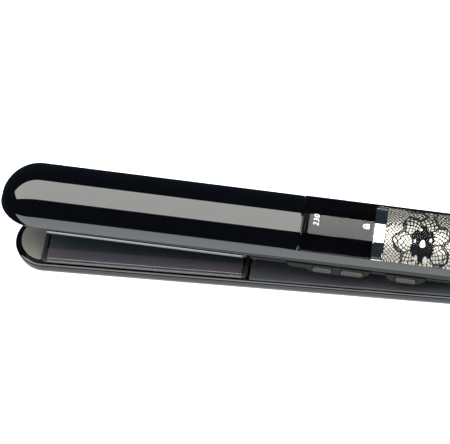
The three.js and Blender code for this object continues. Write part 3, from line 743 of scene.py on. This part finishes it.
def lace_group():
    """Thread mask of a lace fan round the origin, in millimetres, mirrored into a repeat."""
    tree, start, end = node_group("Lace fan", {"Vector": None}, ["Thread"])
    split = tree.nodes.new("ShaderNodeSeparateXYZ")
    tree.links.new(start.outputs["Vector"], split.inputs[0])
    op = partial(calc, tree)

    def mirrored(value, repeat):
        folded = op("SUBTRACT", op("ABSOLUTE", op("SUBTRACT", value, repeat / 2)), repeat / 2)
        return op("MULTIPLY", folded, -1.0)

    def net(across, along, thread):
        lines = []
        for operation in ("ADD", "SUBTRACT"):
            wave = op("SINE", op("MULTIPLY", op(operation, across, along), math.pi))
            lines.append(op("ABSOLUTE", wave))
        gap = op("SUBTRACT", op("MINIMUM", *lines), thread)
        return ramp(tree, gap, -0.02, 0.10, 1.0, 0.0)

    x = mirrored(split.outputs["X"], REPEAT_U)
    y = op("MULTIPLY", mirrored(split.outputs["Y"], REPEAT_ARC), 0.82)
    radius = op("SQRT", op("ADD", op("MULTIPLY", x, x), op("MULTIPLY", y, y)))
    turn = op("ARCTAN2", y, x)
    lobe = op("ABSOLUTE", op("SINE", op("MULTIPLY", turn, 3.5)))
    border = op("ADD", 11.0, op("MULTIPLY", lobe, 3.4))
    inside = ramp(tree, op("SUBTRACT", border, radius), -0.1, 0.1)
    hem = ramp(tree, op("ABSOLUTE", op("SUBTRACT", radius, border)), 0.45, 0.65, 1.0, 0.0)
    second = op("ABSOLUTE", op("SUBTRACT", op("ADD", radius, 1.5), border))
    hem = op("MAXIMUM", hem, ramp(tree, second, 0.2, 0.4, 0.9, 0.0))
    rib = ramp(tree, op("MULTIPLY", lobe, radius), 0.9, 1.7, 1.0, 0.0)
    heavy = ramp(tree, y, 2.0, 15.0, 0.36, 0.66)
    fan = net(op("MULTIPLY", turn, 28 / (2 * math.pi)), op("MULTIPLY", radius, 0.40), heavy)
    ground = net(op("MULTIPLY", x, 0.50), op("MULTIPLY", y, 0.66), heavy)
    both = op("ADD", op("MULTIPLY", fan, inside),
                op("MULTIPLY", ground, op("SUBTRACT", 1.0, inside)))
    threads = op("MAXIMUM", both, op("MAXIMUM", hem, op("MULTIPLY", rib, inside)))
    tree.links.new(threads, end.inputs["Thread"])
    return tree

# %% Lace film material
def lace_film_material():
    material, tree, shader = new_material("lace_film")
    flat = tree.nodes.new("ShaderNodeUVMap")
    flat.uv_map = "drawing"
    size = tree.nodes.new("ShaderNodeMapping")
    size.inputs["Scale"].default_value = (FILM["end"] - FILM["start"], 2 * arc_half(PANEL_TOP), 1)
    size.inputs["Location"].default_value = (FILM["start"] - FLOWER_U, -arc_half(PANEL_TOP) - FLOWER_ARC, 0)
    tree.links.new(flat.outputs["UV"], size.inputs["Vector"])
    wobble = noise(tree, size.outputs["Vector"], 0.16, 2.0)
    shifted = tree.nodes.new("ShaderNodeVectorMath")
    shifted.operation = "ADD"
    drift = tree.nodes.new("ShaderNodeCombineXYZ")
    tree.links.new(ramp(tree, wobble, 0.3, 0.7, -1.0, 1.0), drift.inputs["X"])
    tree.links.new(ramp(tree, wobble, 0.3, 0.7, 0.6, -0.6), drift.inputs["Y"])
    tree.links.new(size.outputs["Vector"], shifted.inputs[0])
    tree.links.new(drift.outputs[0], shifted.inputs[1])
    lace = tree.nodes.new("ShaderNodeGroup")
    lace.node_tree = lace_group()
    tree.links.new(shifted.outputs[0], lace.inputs["Vector"])
    thread = lace.outputs["Thread"]
    tree.links.new(colour_mix(tree, thread, SILVER, (0.010, 0.010, 0.012)), shader.inputs["Base Color"])
    tree.links.new(ramp(tree, thread, 0.0, 1.0, 0.7, 0.0), shader.inputs["Metallic"])
    shader.inputs["Specular IOR Level"].default_value = 0.1
    tree.links.new(ramp(tree, thread, 0.0, 1.0, 0.34, 0.6), shader.inputs["Roughness"])
    add_bump(tree, shader, thread, 0.25, 0.0001)
    return material

# %% Lace film
lace_film = curved_slab("lace_film", FILM["start"], FILM["end"], PANEL_TOP, PANEL_FOOT, lace_film_material())


def add_drawing_map(piece, u0, u1):
    """A UV map with the flat drawing's own shape: along the arm, and round the dome."""
    layer = piece.data.uv_layers.new(name="drawing")
    to_arm = UPPER_ARM.inverted()
    across, up, lengths = arc_table(PANEL_TOP)
    half = arc_half(PANEL_TOP)
    for loop in piece.data.loops:
        u, y, n = to_arm @ piece.data.vertices[loop.vertex_index].co
        turn = math.atan2(n / up, y / across)
        arc = lengths[-1] / 2 - np.interp(turn, arc_turns, lengths)
        layer.data[loop.index].uv = ((u - u0) / (u1 - u0), (arc + half) / (2 * half))


add_drawing_map(lace_film, FILM["start"], FILM["end"])
settle(lace_film, "upper_arm", "lace_film", "lace_panel")
print("film:", round(FILM["end"] - FILM["start"], 1), "mm long")

# %% [markdown]
# ## Solid flowers
# The flowers are cut from flat black film, one in the middle of each fan of the lace. An outline
# is one rule: an oval whose radius swells into six ragged petals. Its heart and some
# of its petals are pierced. The flat sheets are sliced into narrow strips before they are wrapped,
# so that they follow the dome.

# %% Flower sizes
HEART, PETALS = (1.2, 1.8), (6.6, 10.4)
EYELETS = [(0.0, 0.0, 1.35, 2.0), (-1.6, 7.4, 0.75, 0.8), (2.1, -8.0, 1.1, 1.9), (-2.6, -7.4, 0.8, 1.5),
           (3.9, 2.2, 0.6, 1.0), (-4.0, 1.0, 0.5, 0.9)]
print("flowers:", len(FLOWERS), "with", len(EYELETS), "openings each")

# %% Bending a drawing on the dome
def flat_to_dome(bm, depth, lift):
    """Slice a flat drawing (along, round) into narrow strips and bend it on the dome."""
    low = min(v.co.y for v in bm.verts)
    high = max(v.co.y for v in bm.verts)
    for cut in np.arange(math.ceil(low), high, 0.7):
        bmesh.ops.bisect_plane(bm, geom=bm.verts[:] + bm.edges[:] + bm.faces[:],
                               plane_co=(0, cut, 0), plane_no=(0, 1, 0), dist=1e-4)
    points = np.array([v.co for v in bm.verts])
    for vert, place in zip(bm.verts, dome_point(points[:, 0], points[:, 1], depth - lift)):
        vert.co = place


def artwork(name, bm, material, slot, lift=0.06):
    bmesh.ops.triangulate(bm, faces=bm.faces)
    flat_to_dome(bm, PANEL_TOP, lift)
    bmesh.ops.transform(bm, matrix=UPPER_ARM, verts=bm.verts)
    out = UPPER_ARM.to_3x3() @ Vector((0, 0, 1))
    for face in bm.faces:
        face.normal_update()
        if face.normal.dot(out) < 0:
            face.normal_flip()
    return settle(dress(bpy.data.objects.new(name, mesh_of(name, bm)), [material]), "upper_arm", slot)

# %% Drawing the flowers
def petal_radius(turn):
    """Radius of the oval outline, as a share of its half-axes."""
    lobes = abs(math.cos(3 * turn))
    ragged = 0.04 * math.cos(26 * turn) + 0.025 * math.sin(41 * turn)
    return 0.76 + 0.20 * lobes ** 0.6 + ragged


def clip_to_film(bm, margin=0.1):
    half = arc_half(PANEL_TOP) - margin
    for place, normal in (((0, half, 0), (0, 1, 0)), ((0, -half, 0), (0, -1, 0)),
                          ((FILM["start"] + margin, 0, 0), (-1, 0, 0)),
                          ((FILM["end"] - margin, 0, 0), (1, 0, 0))):
        bmesh.ops.bisect_plane(bm, geom=bm.verts[:] + bm.edges[:] + bm.faces[:], plane_co=place,
                               plane_no=normal, clear_outer=True, dist=1e-4)


def flower_drawing():
    """Fans of quads between a pierced heart and ragged petals, one flower in each repeat."""
    steps = 168
    bm = bmesh.new()
    for u, arc, flip in FLOWERS:
        rims = ([], [])
        for i in range(steps):
            turn = 2 * math.pi * i / steps
            share = petal_radius(turn + 0.5)
            petal = (PETALS[0] * share, PETALS[1] * share)
            for rim, (wide, tall) in zip(rims, (HEART, petal)):
                rim.append(bm.verts.new((u + wide * math.cos(turn), arc + flip * tall * math.sin(turn), 0)))
        for i in range(steps):
            j = (i + 1) % steps
            bm.faces.new((rims[0][i], rims[1][i], rims[1][j], rims[0][j]))
    clip_to_film(bm)
    return bm

# %% Piercing the flowers
def eyelet_drawing():
    """Openings pierced through the heart and some of the petals, showing the film again."""
    turns = [2 * math.pi * i / 24 for i in range(24)]
    bm = bmesh.new()
    for u, arc, flip in FLOWERS:
        for x, y, wide, tall in EYELETS:
            bm.faces.new([bm.verts.new((u + x + wide * math.cos(t) * (1 - 0.3 * math.sin(t)),
                                        arc + flip * (y + tall * math.sin(t)), 0)) for t in turns])
    clip_to_film(bm)
    return bm


flowers = artwork("lace_flowers", flower_drawing(), lace_thread, "lace_film")
artwork("lace_eyelets", eyelet_drawing(), silver_film, "lace_film", 0.1)
print("flower faces:", len(flowers.data.polygons))

# %% [markdown]
# ## Temperature figures
# The panel shows five temperatures and a padlock, set across the arm so that they read from the
# near side up. Plain figures are a Text object's job. Its outline is made a mesh, turned and
# bent on the dome. The chosen temperature and the padlock are lit, and the others stay dark.

# %% Figure and padlock drawings
LAMP_FIRST, LAMP_PITCH, FIGURE_ARC = 161.2, 5.05, -7.2
FIGURE_SIZE = 3.9
WINDOW_LEFT, WINDOW_CORNER = 157.4, 1.8
WINDOW_ARC, WINDOW_REACH = -10.0, 5.9


def text_drawing(text):
    curve = bpy.data.curves.new(f"figure_{text}", "FONT")
    curve.body = text
    curve.size = FIGURE_SIZE
    curve.shear = 0.22
    curve.space_character = 1.1
    curve.align_x = "CENTER"
    curve.align_y = "CENTER"
    holder = linked(curve.name, curve)
    mesh = baked(holder)
    bpy.data.objects.remove(holder)
    return mesh


def padlock_drawing():
    """A small padlock: a filled body and a half-ring shackle."""
    bm = bmesh.new()
    body = [(-1.35, -1.5), (1.35, -1.5), (1.35, 0.3), (-1.35, 0.3)]
    bm.faces.new([bm.verts.new((x, y, 0)) for x, y in body])
    turns = [math.pi * i / 14 for i in range(15)]
    outer = [bm.verts.new((1.2 * math.cos(t), 0.4 + 1.5 * math.sin(t), 0)) for t in turns]
    inner = [bm.verts.new((0.65 * math.cos(t), 0.4 + 0.9 * math.sin(t), 0)) for t in turns]
    for i in range(14):
        bm.faces.new((outer[i], outer[i + 1], inner[i + 1], inner[i]))
    return mesh_of("padlock", bm)

# %% Placing the figures
def place_mark(name, mesh, place, material):
    u = LAMP_FIRST + LAMP_PITCH * place
    bm = bmesh.new()
    bm.from_mesh(mesh)
    turn = Matrix.Translation((u, FIGURE_ARC, 0)) @ Matrix.Rotation(math.pi / 2, 4, "Z")
    bmesh.ops.transform(bm, matrix=turn, verts=bm.verts)
    return artwork(name, bm, material, "display_black", 0.12)


for place, text in enumerate(("230", "210", "190", "170", "150")):
    place_mark(f"figure_{text}", text_drawing(text), place, unlit_mark if place else lit_mark)
place_mark("padlock_mark", padlock_drawing(), 5, lit_mark)
print("figures and padlock placed on the panel")

# %% [markdown]
# ## The lens
# The lens is 1.5 mm of acrylic. It stands half a millimetre proud of the casing, rolls off at
# its edges and has rounded corners. It is moulded in two shots: the far side is a black border
# that hides the glue. The lens is bonded to the panel, so its inner skin doesn't reflect, and
# its face has a hard coating that hardly does. Only its rim is bare acrylic.

# %% Lens
LENS_CORNER = 2.0
LENS_ROLL = 1.3
LENS_DROP = 0.55
LENS_FOOT = PANEL_TOP - 0.2


def arc_of(y, n):
    """Arc length from the crown, toward +y, of a point near the dome."""
    turn = math.atan2(n / UPPER["crown"], abs(y) / dome_half(UPPER))
    return math.copysign(arc_half(0.0, turn), y)


def in_window(u, arc):
    """Whether a point lies in the display's polished window, which has rounded corners."""
    left = WINDOW_LEFT + WINDOW_CORNER - u
    over = abs(arc - WINDOW_ARC) - (WINDOW_REACH - WINDOW_CORNER)
    if u > BAND["start"] or over > WINDOW_CORNER:
        return False
    return left < 0 or over < 0 and left < WINDOW_CORNER or math.hypot(left, max(over, 0)) < WINDOW_CORNER

# %% Lens mesh
def lens(arc0, arc1):
    u0, u1 = WINDOW["start"] + CLEARANCE, WINDOW["end"] - CLEARANCE
    edge = [0, 0.1, 0.25, 0.45, 0.7, 1.0, LENS_ROLL]
    rows = [arc0 + d for d in edge] + list(np.linspace(arc0, arc1, 88)[5:-5]) + [arc1 - d for d in edge[::-1]]
    stations = [u for a, b, steps in ((WINDOW_LEFT - 0.2, WINDOW_LEFT + 2.2, 9),
                                      (163, BAND["start"], 8), (194, 258, 20))
                for u in np.linspace(a, b, steps)]
    rings = []
    for foot in (False, True):
        for arc in rows:
            to_end = min(arc - arc0, arc1 - arc)
            inset = max(0.0, LENS_CORNER - to_end)
            shrink = LENS_CORNER - math.sqrt(max(0.0, LENS_CORNER ** 2 - inset ** 2))
            a, b = u0 + shrink, u1 - shrink
            us = [a + d for d in edge] + stations + [b - d for d in edge[::-1]]
            line = []
            for u in us:
                near_edge = min(u - a, b - u, to_end)
                roll = LENS_DROP * max(0.0, 1 - near_edge / LENS_ROLL) ** 2.4
                level = LENS_FOOT if foot else roll - WINDOW["proud"]
                line.append(tuple(dome_point([u], [arc * arc_half(level) / arc_half(0.0)], level)[0]))
            rings.append(line)
    points = [p for line in rings for p in line]
    faces = slab_faces(len(rows), len(rings[0]))
    piece = make_piece("display_lens", points, faces, UPPER_ARM, acrylic, sharp=math.radians(40))
    for material in (bonded, coated):
        piece.data.materials.append(material)
    to_arm = UPPER_ARM.inverted()
    for polygon in piece.data.polygons:
        u, y, n = to_arm @ polygon.center
        inward = dome_half(UPPER) - math.hypot(y, n * dome_half(UPPER) / UPPER["crown"])
        if inward > LENS_FOOT - 0.08:
            polygon.material_index = 1
        elif inward < 0.1 - WINDOW["proud"] and not in_window(u, arc_of(y, n)):
            polygon.material_index = 2
    piece.visible_shadow = False
    return piece

# %% Lens and its border
far_arc = arc_half(0.0, math.radians(65))
near_arc = arc_half(0.0) - 0.15
display_lens = settle(lens(-near_arc, far_arc), "upper_arm", "clear_cover", "display_cover")
lens_border = curved_slab("lens_border", WINDOW["start"] + CLEARANCE, WINDOW["end"] - CLEARANCE, -0.25,
                          LENS_FOOT, gloss_black, arcs=24, start=(far_arc + 0.2) / near_arc)
settle(lens_border, "upper_arm", "gloss_black_shell")
print("lens faces:", len(display_lens.data.polygons))

# %% [markdown]
# ## Moulded and machined pieces with rounded edges
# Covers, plates, frames and buttons already have their true shape in the CAD frame, but their
# edges are knife-sharp, and real edges catch the light. Their CAD meshes are loose triangles, so
# each is copied, its triangles merged and its flats dissolved, and then every edge is rounded.

# %% Rounded copies
def rounded_copy(node, name, materials, width, segments=2, edge_slot=-1):
    mesh = frame["nodes"][node].data.copy()
    mesh.name = name
    bm = bmesh.new()
    bm.from_mesh(mesh)
    bmesh.ops.remove_doubles(bm, verts=bm.verts, dist=1e-6)
    bmesh.ops.dissolve_limit(bm, angle_limit=math.radians(0.6), verts=bm.verts, edges=bm.edges)
    edges = [e for e in bm.edges if len(e.link_faces) == 2 and e.calc_face_angle(0.0) > math.radians(32)]
    bmesh.ops.bevel(bm, geom=edges, offset=width * MM, offset_type="OFFSET", segments=segments,
                    profile=0.5, affect="EDGES", clamp_overlap=True, material=edge_slot)
    bmesh.ops.triangulate(bm, faces=[f for f in bm.faces if len(f.verts) > 4])
    bm.to_mesh(mesh)
    bm.free()
    if "custom_normal" in mesh.attributes:
        mesh.attributes.remove(mesh.attributes["custom_normal"])
    return dress(bpy.data.objects.new(name, mesh), materials)

# %% Covers, leaves and frames
ROUNDED = [("nose_cover", (grey_plastic, grey_plastic), 0.35, "grey_heatproof_plastic"),
           ("inner_cover", (satin_black, pod_satin), 0.3, "satin_black_plastic"),
           ("hinge_leaf", (satin_black, satin_black), 0.25, "satin_black_plastic"),
           ("plate_frame", (frame_grey, frame_grey), 0.2, "grey_heatproof_plastic")]
for part, materials, width, slot in ROUNDED:
    for (prefix, _, body), material in zip(ARMS, materials):
        node = f"{prefix}_{part}"
        piece = rounded_copy(node, f"{node}_moulding", [material], width)
        settle(piece, body, slot, node)
        print(node, len(piece.data.polygons), "faces")

# %% [markdown]
# ## Pods and buttons
# The two pods of buttons hang below the rim. They are satin black, with a little edge wear. The rounding
# takes its own material slot in a paler olive, a painted highlight, so each edge is drawn as a fine bright
# line.

# %% Pods and buttons
BEZEL_ROUND, BUTTON_ROUND = 0.2, 0.28
PODS = {"temperature_bezel": "upper_arm", "power_bezel": "upper_arm",
        "plus_button": "plus_button", "minus_button": "minus_button", "power_button": "power_button"}
for node, body in PODS.items():
    face, width = (cap_satin, BUTTON_ROUND) if node.endswith("button") else (pod_satin, BEZEL_ROUND)
    piece = rounded_copy(node, f"{node}_moulding", [face, rim_satin], width, edge_slot=1)
    settle(piece, body, "satin_black_plastic", node)
print("pods and buttons:", len(PODS))

# %% [markdown]
# ## Heated plates
# A plate is an aluminium extrusion with a dark mineral coating baked on its working face. The
# same rounded copy serves, with a second material on every face that lies in the coated plane.

# %% Plates
PLATE_FACE = 3.2


def coated_plate(node, arm, body):
    plate = rounded_copy(node, f"{node}_body", [plate_metal, plate_coating], 0.16)
    to_arm = arm.inverted()
    for polygon in plate.data.polygons:
        if (to_arm @ polygon.center).z < 0.05 - PLATE_FACE:
            polygon.material_index = 1
    return settle(plate, body, "coated_plate", node)


for prefix, arm, _ in ARMS:
    plate = coated_plate(f"{prefix}_plate", arm, f"{prefix}_plate_carriage")
    print(plate.name, len(plate.data.polygons), "faces")

# %% [markdown]
# ## Silicone springs
# Each plate floats on two silicone pads. Each pad is a rounded copy with a mesh of its own,
# riding on its arm.

# %% Silicone pads
def squashing_pad(node, body):
    pad = settle(rounded_copy(node, f"{node}_block", [silicone], 0.2), body, "silicone", node)
    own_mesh(pad)
    return pad


for prefix, _, body in ARMS:
    for end in ("front", "rear"):
        pad = squashing_pad(f"{prefix}_float_pad_{end}", body)
        print(pad.name, len(pad.data.polygons), "faces")

# %% [markdown]
# ## Turned pieces
# The cord socket, its swivelling gland, the hinge pin and the stop pads are all round. Each is a
# closed profile spun about an axis, with enough steps that its outline stays smooth.

# %% Turned pieces
SPIN_STEPS = 96


def turned(name, profile, centre, along, arm, material, steps=SPIN_STEPS):
    """Spin (radius, distance) pairs about an axis through centre; along is 0, 1 or 2."""
    rings = []
    for i in range(steps):
        turn = 2 * math.pi * i / steps
        ring = []
        for radius, distance in profile:
            point = [0.0, 0.0, 0.0]
            point[along] = distance
            point[(along + 1) % 3] = radius * math.cos(turn)
            point[(along + 2) % 3] = radius * math.sin(turn)
            ring.append(tuple(p + c for p, c in zip(point, centre)))
        rings.append(ring)
    rings.append(rings[0])
    closed = profile[0] != profile[-1] and profile[0][0] > 0
    return make_piece(name, *skin(rings, closed=closed), arm, material)

# %% Socket, gland, pin and stop pads
SOCKET_N = 2.0
socket_profile = ([(3.0, 312.4), (3.0, 309.6)] + arc_corner((6.4, 310.4), 0.8, -90, 0)
                  + arc_corner((6.0, 322.8), 1.2, 0, 90) + [(5.4, 324.0), (5.4, 322.4), (6.4, 322.4),
                                                            (6.4, 312.4)])
settle(turned("socket_ring", socket_profile, (0, 0, SOCKET_N), 0, LOWER_ARM, gloss_black),
       "root", "gloss_black_shell", "swivel_socket")
gland_profile = ([(3.3, 318.6), (6.1, 318.6), (6.1, 322.1), (5.1, 322.1), (5.1, 324.4)]
                 + arc_corner((5.6, 324.8), 0.4, -90, 0) + arc_corner((4.9, 329.9), 1.1, 0, 90)
                 + [(3.3, 331.0)])
gland = turned("gland_body", gland_profile, (0, 0, SOCKET_N), 0, LOWER_ARM, satin_black)
settle(gland, "swivel_gland", "satin_black_plastic", "swivel_gland")
pin_profile = ([(0, -17.4)] + arc_corner((1.5, -16.9), 0.5, -90, 0)
               + arc_corner((1.5, 16.9), 0.5, 0, 90) + [(0, 17.4)])
settle(turned("pin_body", pin_profile, (HINGE_U, 0, -RIM_GAP / 2), 1, LOWER_ARM, steel, 48),
       "root", "steel", "hinge_pin")
pad_profile = [(0, -2.5), (0.5, -2.46), (0.9, -2.3), (1.2, -2.05), (1.3, -1.9), (1.3, -1.8), (0, -1.8)]
for side, y in (("near", 4), ("far", -4)):
    pad = turned(f"stop_pad_{side}_dome", pad_profile, (131.4, y, 0), 2, LOWER_ARM, grey_plastic, 32)
    settle(pad, "root", "grey_heatproof_plastic", f"stop_pad_{side}")
print("turned: socket ring, gland, hinge pin and two stop pads")

# %% [markdown]
# ## Repeats with Geometry Nodes
# Screws, the grip ribs round the gland and the hinge spring repeat or follow a path, which is
# what Geometry Nodes are for. Each tree takes its sizes as named inputs. Its result is read back
# as a plain mesh, since only plain meshes ride on the frame.

# %% Geometry Nodes helpers
def geometry_tree(name, inputs):
    tree = bpy.data.node_groups.new(name, "GeometryNodeTree")
    tree.interface.new_socket("Geometry", in_out="OUTPUT", socket_type="NodeSocketGeometry")
    for socket, kind in inputs.items():
        tree.interface.new_socket(socket, in_out="INPUT", socket_type=f"NodeSocket{kind}")
    return tree, tree.nodes.new("NodeGroupInput").outputs, tree.nodes.new("NodeGroupOutput")


def add_node(tree, kind, links=None, **values):
    """A node with its inputs set by name, from numbers or from other nodes' sockets."""
    node = tree.nodes.new(kind)
    for socket, value in values.items():
        node.inputs[socket.replace("_", " ")].default_value = value
    for socket, source in (links or {}).items():
        tree.links.new(source, node.inputs[socket])
    return node


def close_tree(tree, geometry, end, material_socket):
    real = add_node(tree, "GeometryNodeRealizeInstances", {"Geometry": geometry})
    painted = add_node(tree, "GeometryNodeSetMaterial", {
        "Geometry": real.outputs[0], "Material": material_socket})
    tree.links.new(painted.outputs[0], end.inputs["Geometry"])


def grown(name, tree, values, arm, material):
    """Run a tree with its inputs set by identifier, and keep the result as a plain mesh."""
    holder = linked(name + "_holder", bpy.data.meshes.new(name + "_holder"))
    modifier = holder.modifiers.new("nodes", "NODES")
    modifier.node_group = tree
    for item in tree.interface.items_tree:
        if item.in_out == "INPUT" and item.name in values:
            modifier[item.identifier] = values[item.name]
    mesh = baked(holder)
    holder.modifiers.remove(modifier)
    bpy.data.objects.remove(holder)
    mesh.name = name
    mesh.transform(arm)
    return dress(bpy.data.objects.new(name, mesh), [material])

# %% Screw with a cross recess
def screw_mesh():
    """One screw, its crown at the bottom, cut with a cross."""
    profile = [(0, -1.2), (1.3, -1.2), (1.9, -1.12), (2.25, -0.98), (2.4, -0.8), (2.4, -0.1), (1.2, -0.1),
               (1.2, 7.6), (0, 8.2)]
    head = turned("screw_blank", profile, (0, 0, 0), 2, Matrix.Identity(4), steel, 32)
    bm = bmesh.new()
    bar = Matrix.Translation((0, 0, -1.1)) @ Matrix.Diagonal((2.6, 0.5, 1.1, 1))
    for turn in (0, math.pi / 2):
        bmesh.ops.create_cube(bm, size=1, matrix=Matrix.Rotation(turn, 4, "Z") @ bar)
    cutter = linked("cross", mesh_of("cross", bm))
    cut = head.modifiers.new("cross", "BOOLEAN")
    cut.operation = "DIFFERENCE"
    cut.object = cutter
    cut.use_self = True
    mesh = baked(head)
    bpy.data.objects.remove(head)
    bpy.data.objects.remove(cutter)
    return mesh

# %% Rows of screws
def screw_row_tree():
    tree, given, end = geometry_tree("Screw row", {
        "First": "Vector", "Step": "Vector", "Count": "Int", "Screw": "Object", "Material": "Material"})
    row = add_node(tree, "GeometryNodeMeshLine", {
        "Count": given["Count"], "Start Location": given["First"], "Offset": given["Step"]})
    shape = add_node(tree, "GeometryNodeObjectInfo", {"Object": given["Screw"]})
    placed = add_node(tree, "GeometryNodeInstanceOnPoints", {
        "Points": row.outputs[0], "Instance": shape.outputs["Geometry"]})
    close_tree(tree, placed.outputs[0], end, given["Material"])
    return tree


SCREW_FRONT, SCREW_REAR = 140, 276
pattern = linked("screw_pattern", screw_mesh())
screw_rows = screw_row_tree()
for prefix, arm, body in ARMS:
    values = {"First": (SCREW_FRONT, 0, 0), "Step": (SCREW_REAR - SCREW_FRONT, 0, 0), "Count": 2,
              "Screw": pattern, "Material": steel}
    screws = grown(f"{prefix}_screws", screw_rows, values, arm, steel)
    settle(screws, body, "steel", f"{prefix}_cover_screw_front", f"{prefix}_cover_screw_rear")
bpy.data.objects.remove(pattern)
print("screw faces:", len(screws.data.polygons))

# %% [markdown]
# ## Hinge spring
# A coil of steel wire on the hinge pin pushes the arms open. It is a circle swept along a
# spiral, so its turns, radius, length and wire stay numbers that can be changed.

# %% Hinge spring
def spring_tree():
    tree, given, end = geometry_tree("Coil spring", {
        "Turns": "Float", "Radius": "Float", "Length": "Float", "Wire": "Float", "Material": "Material"})
    coil = add_node(tree, "GeometryNodeCurveSpiral", {
        "Rotations": given["Turns"], "Start Radius": given["Radius"], "End Radius": given["Radius"],
        "Height": given["Length"]}, Resolution=28)
    wire = add_node(tree, "GeometryNodeCurvePrimitiveCircle", {"Radius": given["Wire"]}, Resolution=10)
    swept = add_node(tree, "GeometryNodeCurveToMesh", {
        "Curve": coil.outputs[0], "Profile Curve": wire.outputs[0]})
    swept.inputs["Fill Caps"].default_value = True
    close_tree(tree, swept.outputs[0], end, given["Material"])
    return tree


SPRING_LENGTH = 10.4
lie_across = (LOWER_ARM @ Matrix.Translation((HINGE_U, SPRING_LENGTH / 2, -RIM_GAP / 2))
              @ Matrix.Rotation(math.pi / 2, 4, "X"))
spring = grown("hinge_spring", spring_tree(), {"Turns": 7.0, "Radius": 3.0, "Length": SPRING_LENGTH,
                                               "Wire": 0.45, "Material": steel}, lie_across, steel)
settle(spring, "root", "steel", "torsion_spring")
print("spring faces:", len(spring.data.polygons))

# %% [markdown]
# ## Grip ribs
# The gland's collar has fine ribs for the fingers. One small box is set at each point of a ring
# and turned to face outwards, which is how a moulder's drawing would give them too.

# %% Grip ribs on the gland
def ribs_tree():
    tree, given, end = geometry_tree("Collar ribs", {
        "Count": "Int", "Radius": "Float", "Size": "Vector", "Material": "Material"})
    ring = add_node(tree, "GeometryNodeMeshCircle", {"Vertices": given["Count"], "Radius": given["Radius"]})
    rib = add_node(tree, "GeometryNodeMeshCube", {"Size": given["Size"]})
    outward = add_node(tree, "GeometryNodeInputPosition")
    turn = add_node(tree, "FunctionNodeAlignEulerToVector", {"Vector": outward.outputs[0]})
    placed = add_node(tree, "GeometryNodeInstanceOnPoints", {
        "Points": ring.outputs[0], "Instance": rib.outputs[0], "Rotation": turn.outputs[0]})
    close_tree(tree, placed.outputs[0], end, given["Material"])
    return tree


lie_along = (LOWER_ARM @ Matrix.Translation((327.2, 0, SOCKET_N)) @ Matrix.Rotation(math.pi / 2, 4, "Y"))
ribs = grown("gland_ribs", ribs_tree(), {"Count": 28, "Radius": 5.85, "Size": (0.5, 0.55, 3.6),
                                         "Material": satin_black}, lie_along, satin_black)
settle(ribs, "swivel_gland", "satin_black_plastic")
print("rib faces:", len(ribs.data.polygons))

# %% [markdown]
# ## The pieces inside
# Heaters, clips, leads and boards keep their CAD meshes, since little of them is ever seen. They
# still get true materials: fired ceramic, silicone, insulated leads and a green board.

# %% Finishes for the CAD pieces that stay
INSIDE = {"heater": ceramic, "heater_clip": steel, "thermistor": ceramic,
          "lead_live": red_lead, "lead_neutral": blue_lead}
stay = {f"{prefix}_{name}": material for prefix in ("lower", "upper") for name, material in INSIDE.items()}
stay |= {"board_tray": dark_plastic, "control_board": board_green, "triac": dark_plastic}
stay |= {f"{name}_switch": steel for name in ("plus", "minus", "power")}
stay |= {f"lamp_{name}": lamp_white for name in ("230", "210", "190", "170", "150", "lock")}
for node, material in stay.items():
    piece = frame["nodes"][node]
    piece.data.materials.clear()
    piece.data.materials.append(material)
print("CAD pieces that stay:", len(stay))
